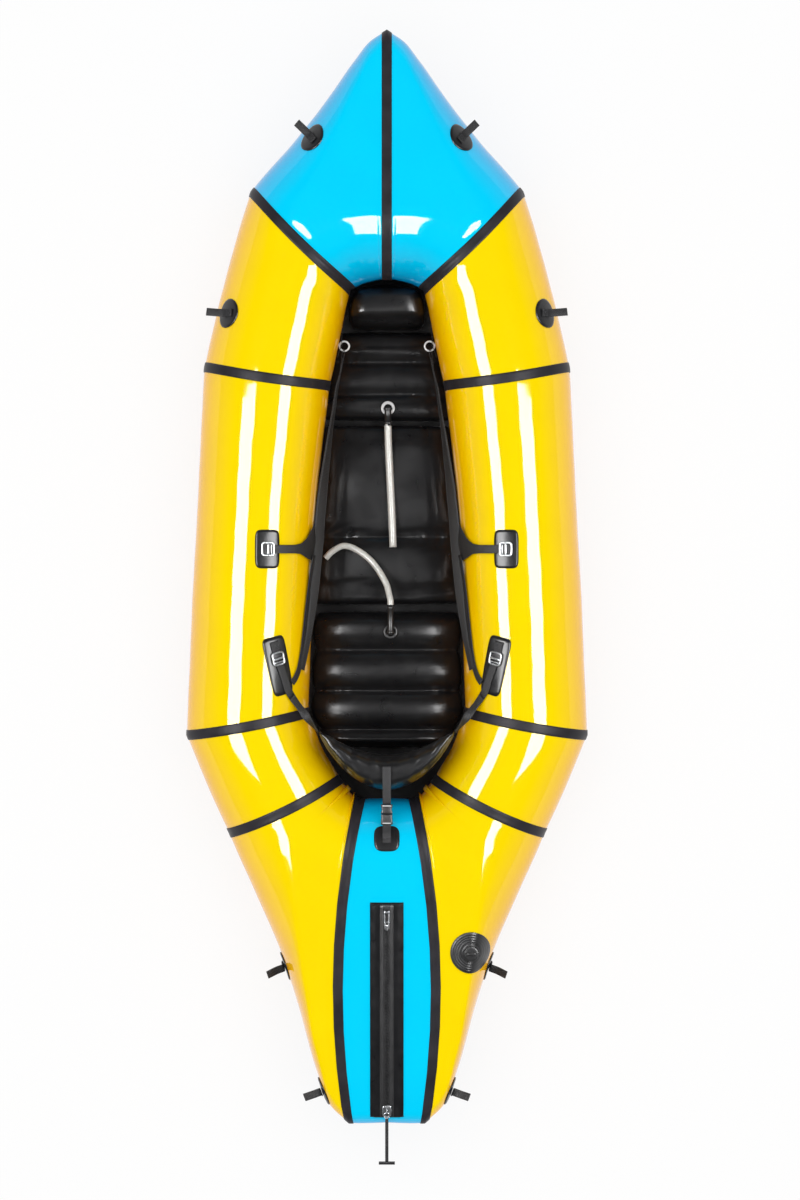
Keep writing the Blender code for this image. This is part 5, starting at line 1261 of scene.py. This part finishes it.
valve_level = float(seat.height(0.0, 0.0))
radius = CAP_RADIUS * np.array([0.60, 1.0, 1.0, 0.985, 0.90, 0.70, 0.35, 0.02])
height = CAP_LOW + np.array([0.0, 0.0, 0.0042, 0.0050, 0.0056, 0.0058, 0.0060, 0.0060])
ring = circle(1.0, 96)
flute = 1 - 0.03 * (np.cos(np.linspace(0, 2 * pi, 96, endpoint=False) * CAP_FLUTES) > 0) * np.array(
    [0, 1, 1, 1, 0, 0, 0, 0])[:, None]
cap = seat.free(radius[:, None] * flute * ring[:, 0], radius[:, None] * flute * ring[:, 1],
                np.repeat(height[:, None], 96, axis=1) + valve_level)
span = np.linspace(-1, 1, 13)
rise = 0.0118 * (1 - np.abs(span) ** 6) + 0.0002
outline = np.stack([ribbon_outline(0.0062 * (1 - 0.25 * abs(s) ** 3), max(0.0012, r - 0.002))
                    for s, r in zip(span, rise)])
grip = rod(seat.free(span * 0.0150, span * 0, CAP_LOW + valve_level + 0.002), seat.w, outline)
cap_piece = mesh_piece("valve_cap_knob", *joined((cap, lofted_faces(*cap.shape[:2])), grip), black_plastic,
                       body="valve_cap")
fitted(cap_piece, "valve_cap")

# Back strap and buckle. Webbing from the top of the backrest to a side-release buckle, whose other half hangs
# on a short tail sewn to a patch on the stern.
BUCKLE_TOP = BACK_BOTTOM + BACK_HEIGHT
BUCKLE_MIDDLE = BUCKLE_TOP - 0.005 - 0.0003
MOUTH = BOW_TIP - 1.785
HEEL = MOUTH - 0.024
PLUG_FACE = MOUTH + 0.0006
PLUG_REACH = 0.022
seat = Seat(*on_hull((0.0, BOW_TIP - 1.840, 2.0), -UP), (0, 1, 0), 0.075)
patch_piece("buckle_patch_cloth", seat, 0.058, 0.062, 0.012, "buckle_socket")


def shell_box(y, widths, thick):
    """A moulded body along Y: rounded boxes of these widths and thicknesses at these places."""
    path = np.column_stack([np.zeros(len(y)), y, np.full(len(y), BUCKLE_MIDDLE)])
    return rod(path, UP, np.stack([ribbon_outline(w, t, 20) - (0, t / 2) for w, t in zip(widths, thick)]))


socket = shell_box(HEEL + np.array([0, 0.001, 0.004, 0.010, 0.017, 0.0215, 0.0235, 0.024]),
                   (0.024, 0.026, 0.027, 0.0262, 0.0252, 0.0262, 0.0262, 0.025),
                   (0.006, 0.0085, 0.0098, 0.0098, 0.0096, 0.0092, 0.0086, 0.0070))
fitted(mesh_piece("buckle_socket_shell", *socket, black_plastic))
grip = shell_box(PLUG_FACE + np.array([0.0, 0.0008, 0.004, 0.010, 0.016, 0.0205, PLUG_REACH]),
                 (0.024, 0.0262, 0.0262, 0.0225, 0.0250, 0.0268, 0.0250),
                 (0.0070, 0.0090, 0.0094, 0.0082, 0.0082, 0.0088, 0.0060))
tongue = shell_box(PLUG_FACE + np.array([-0.017, -0.012, -0.004, 0.002]), (0.006, 0.0135, 0.0165, 0.0165),
                   (0.0024, 0.0036, 0.0040, 0.0040))
plug = mesh_piece("buckle_plug_shell", *joined(grip, tongue), black_plastic, body="buckle_plug")
fitted(plug, "buckle_plug")
for name, at, body in (("socket_bar", HEEL + 0.004, "hull"), ("plug_bar", PLUG_FACE + 0.0185, "buckle_plug")):
    span = np.column_stack([np.linspace(-0.0095, 0.0095, 5), np.full(5, at),
                            np.full(5, BUCKLE_MIDDLE + 0.0046)])
    bar = rod(span, UP, circle(1.0, 10) * (0.0012, 0.0007))
    fitted(mesh_piece(name, *bar, white_plastic, body=body))

top = BACK_BOTTOM + BACK_HEIGHT + 0.0003
lie, aft = BACK_HINGE_Y - 0.084 / 4, BACK_HINGE_Y - 0.084 * 3 / 4
end = PLUG_FACE + PLUG_REACH + 0.0006
keys = np.array([(0, lie, top), (0, (lie + aft) / 2, top + 0.0002), (0, aft, top),
                 (0, (aft + end) / 2, top - 0.003), (0, end, BUCKLE_MIDDLE - 0.001)])
strap = webbing_piece("back_strap_band", smooth_route(keys, 6), UP, STRAP_WIDTH, STRAP, body=None)
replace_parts(strap, "back_strap")
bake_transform(strap)
tail_path = smooth_route(np.array([(0, HEEL + 0.001, BUCKLE_MIDDLE - 0.001), seat.lay(0.0, 0.005, 0.0040),
                                   seat.lay(0.0, -0.012, 0.0022)]), 6)
webbing_piece("buckle_tail", tail_path, seat.w, STRAP_WIDTH, STRAP)
cross_tack("buckle_tack", seat, 0.0070, -0.005, 0.0055, 0.0046)

# Cargo zip. An airtight zip welded into the stern on a black panel: two rows of moulded teeth on rubber tape,
# metal stops, a round steel slider, and a pull of webbing with a short cross bar.
ZIP_LENGTH = 0.495
ZIP_HALF = 0.038
ZIP_ALONG = np.array((0.0, 0.99493, 0.1006))
ZIP_OFF = np.array((0.0, -0.1006, 0.99493))
ZIP_START = np.array((0.0, -0.69387, 0.30362))


def zip_at(u, v, w):
    """Points across, along (towards the bow) and off the zip's line, from its front end."""
    u, v, w = np.broadcast_arrays(u, v, w)
    return (ZIP_START + u[..., None] * np.array((1.0, 0, 0)) + v[..., None] * ZIP_ALONG
            + w[..., None] * ZIP_OFF)


def zip_panel_top(u, v):
    """Height of the panel over the line's plane: flat under the tape, then down to the skin at its rims.

    The skin's height is measured at 25 places along and three across; a parabola goes across through them.
    """
    stations = np.linspace(0.0, -ZIP_LENGTH, 25)
    drops = []
    for half in (-1, 0, 1):
        hits = [on_hull(zip_at(half * ZIP_HALF, station, 0.05), -ZIP_OFF)[0] for station in stations]
        drops.append((np.array(hits) - ZIP_START) @ ZIP_OFF)
    left, middle, right = (np.interp(-v, -stations, drop) for drop in drops)
    share = u / ZIP_HALF
    skin = middle + share * (right - left) / 2 + share ** 2 * ((left + right) / 2 - middle)
    near_rim = np.maximum(np.abs(u) - 0.021, 0) / 0.017
    near_end = np.maximum(np.maximum(v + 0.012, -ZIP_LENGTH + 0.004 - v), 0) / 0.012
    fall = np.clip(np.maximum(near_rim, near_end), 0, 1)
    fall = fall * fall * (3 - 2 * fall)
    return (skin + 0.0022) * fall


u, v = np.meshgrid(np.linspace(-ZIP_HALF, ZIP_HALF, 27), np.linspace(0, -ZIP_LENGTH, 110))
w = zip_panel_top(u, v) + 0.00025 * np.sin(v * 140 + u * 60) * np.abs(u) / ZIP_HALF
zip_cloth = rubbed_cloth("black_zip_panel_cloth", (0.006, 0.006, 0.007, 1), (0.013, 0.013, 0.015, 1), 24.0,
                         0.12, 0.0003)
panel = mesh_piece("cargo_zip_panel", zip_at(u, v, w), grid_faces(*u.shape), zip_cloth)
turn_to(panel, ZIP_OFF)
thicken(panel, PATCH)
fitted(panel, "cargo_zip")

run = np.linspace(-0.004, -ZIP_LENGTH + 0.002, 80)
half_tape = np.array([(0.0160, -0.0004), (0.0160, 0.0006), (0.0140, 0.0011), (0.0092, 0.0013),
                      (0.0078, 0.0020), (0.0062, 0.0016), (0.0020, 0.0016), (0.0, 0.0012)])
tape = rod(zip_at(0 * run, run, 0.0), ZIP_OFF, np.concatenate([half_tape, half_tape[-2::-1] * (-1, 1)]))
fitted(mesh_piece("zip_rubber_tape", *tape, black_plastic))

TEETH_PITCH = 0.0034
STOP_REACH = 0.018 + 0.046
count = int((ZIP_LENGTH - STOP_REACH - 0.012) / TEETH_PITCH)
row = np.where(np.arange(count) % 2, 1.0, -1.0)[:, None]
middle = -STOP_REACH - 0.003 - TEETH_PITCH * np.arange(count)[:, None]
a = np.array((-1.0, 1.0, 1.0, -1.0, -0.8, 0.8, 0.8, -0.8))
b = np.array((-1.0, -1.0, 1.0, 1.0, -0.7, -0.7, 0.7, 0.7))
c = np.array((0.0, 0.0, 0.0, 0.0, 1.0, 1.0, 1.0, 1.0))
blocks = zip_at(row * 0.0014 + a * 0.0027, middle + b * 0.00135, 0.0016 + c * 0.0026)
block_faces = np.array([(0, 3, 2, 1), (4, 5, 6, 7), (0, 1, 5, 4), (1, 2, 6, 5), (2, 3, 7, 6), (3, 0, 4, 7)])
teeth = mesh_piece("zip_teeth", blocks, (np.arange(count)[:, None, None] * 8 + block_faces).reshape(-1, 4),
                   black_plastic, smooth=False)
fitted(teeth)


def zip_rod(rows, radius, flat=1.0):
    """A steel rod through rows of places on the zip's line, round or flattened off it."""
    path = smooth_route(np.array([zip_at(*row) for row in rows]), 5)
    return rod(path, ZIP_OFF, circle(1.0, 12) * (radius, radius * flat))


front_stop = [zip_rod([(x, -0.018, 0.0036), (x, -0.034, 0.0038), (x * 0.8, -0.060, 0.0034)], 0.0021)
              for x in (-0.0050, 0.0050)]
front_stop.append(zip_rod([(-0.0068, -0.022, 0.0045), (0.0068, -0.022, 0.0045)], 0.0024, 0.9))
front_stop.append(zip_rod([(-0.0062, -0.044, 0.0045), (0.0062, -0.044, 0.0045)], 0.0022, 0.9))
front_stop.append(zip_rod([(0, -0.050, 0.0040), (0, -0.063, 0.0034)], 0.0030, 0.6))
fitted(mesh_piece("zip_front_stop", *joined(*front_stop), steel))
end_stop = zip_rod([(x, -ZIP_LENGTH + 0.0045, 0.0030) for x in (-0.0060, 0.0060)], 0.0016, 0.8)
fitted(mesh_piece("zip_end_stop", *end_stop, steel))

slider_at = -ZIP_LENGTH + 0.0015 + 0.002 + 0.013
share = np.linspace(-1, 1, 15)
dome = np.sqrt(np.maximum(0.02, 1 - np.abs(share) ** 3))
outline = np.stack([ribbon_outline(0.0205 * (0.55 + 0.45 * d), 0.0012 + 0.0019 * d, 20) for d in dome])
cover = rod(zip_at(0 * share, slider_at + share * 0.0128, 0.0050), ZIP_OFF, outline)
cheeks = [zip_rod([(x, slider_at - 0.0105, 0.0034), (x, slider_at + 0.0105, 0.0034)], 0.0017)
          for x in (-0.0082, 0.0082)]
bridge = zip_rod([(0, slider_at - 0.0060, 0.0072), (0, slider_at - 0.0035, 0.0108),
                  (0, slider_at + 0.0025, 0.0108), (0, slider_at + 0.0050, 0.0072)], 0.0013)
slider = mesh_piece("zip_slider_body", *joined(cover, *cheeks, bridge), steel, body="zip_slider")
fitted(slider, "zip_slider")

PULL_LEVEL = 0.0098
eye_at = slider_at - 0.0098
spots = circle(0.0062, 40)
eye = hoop(zip_at(spots[:, 0], spots[:, 1] + eye_at, PULL_LEVEL), ZIP_OFF, circle(0.0011, 10))
fitted(mesh_piece("zip_pull_ring", *eye, steel, body="zip_pull"))
grip_at = (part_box("zip_pull")[0][1] + 0.0042 - ZIP_START[1]) / ZIP_ALONG[1]
run = np.linspace(eye_at - 0.0055, grip_at + 0.0015, 24)
strap = webbing_piece("zip_pull_strap", zip_at(0 * run, run, PULL_LEVEL) - ZIP_OFF * 0.0009, ZIP_OFF, 0.0075,
                      0.0018, body="zip_pull")
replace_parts(strap, "zip_pull")
grip = zip_rod([(x, grip_at, PULL_LEVEL) for x in (-0.0180, -0.0175, -0.009, 0, 0.009, 0.0175, 0.0180)],
               0.0038, 0.55)
fitted(mesh_piece("zip_pull_bar", *grip, black_plastic, body="zip_pull"))
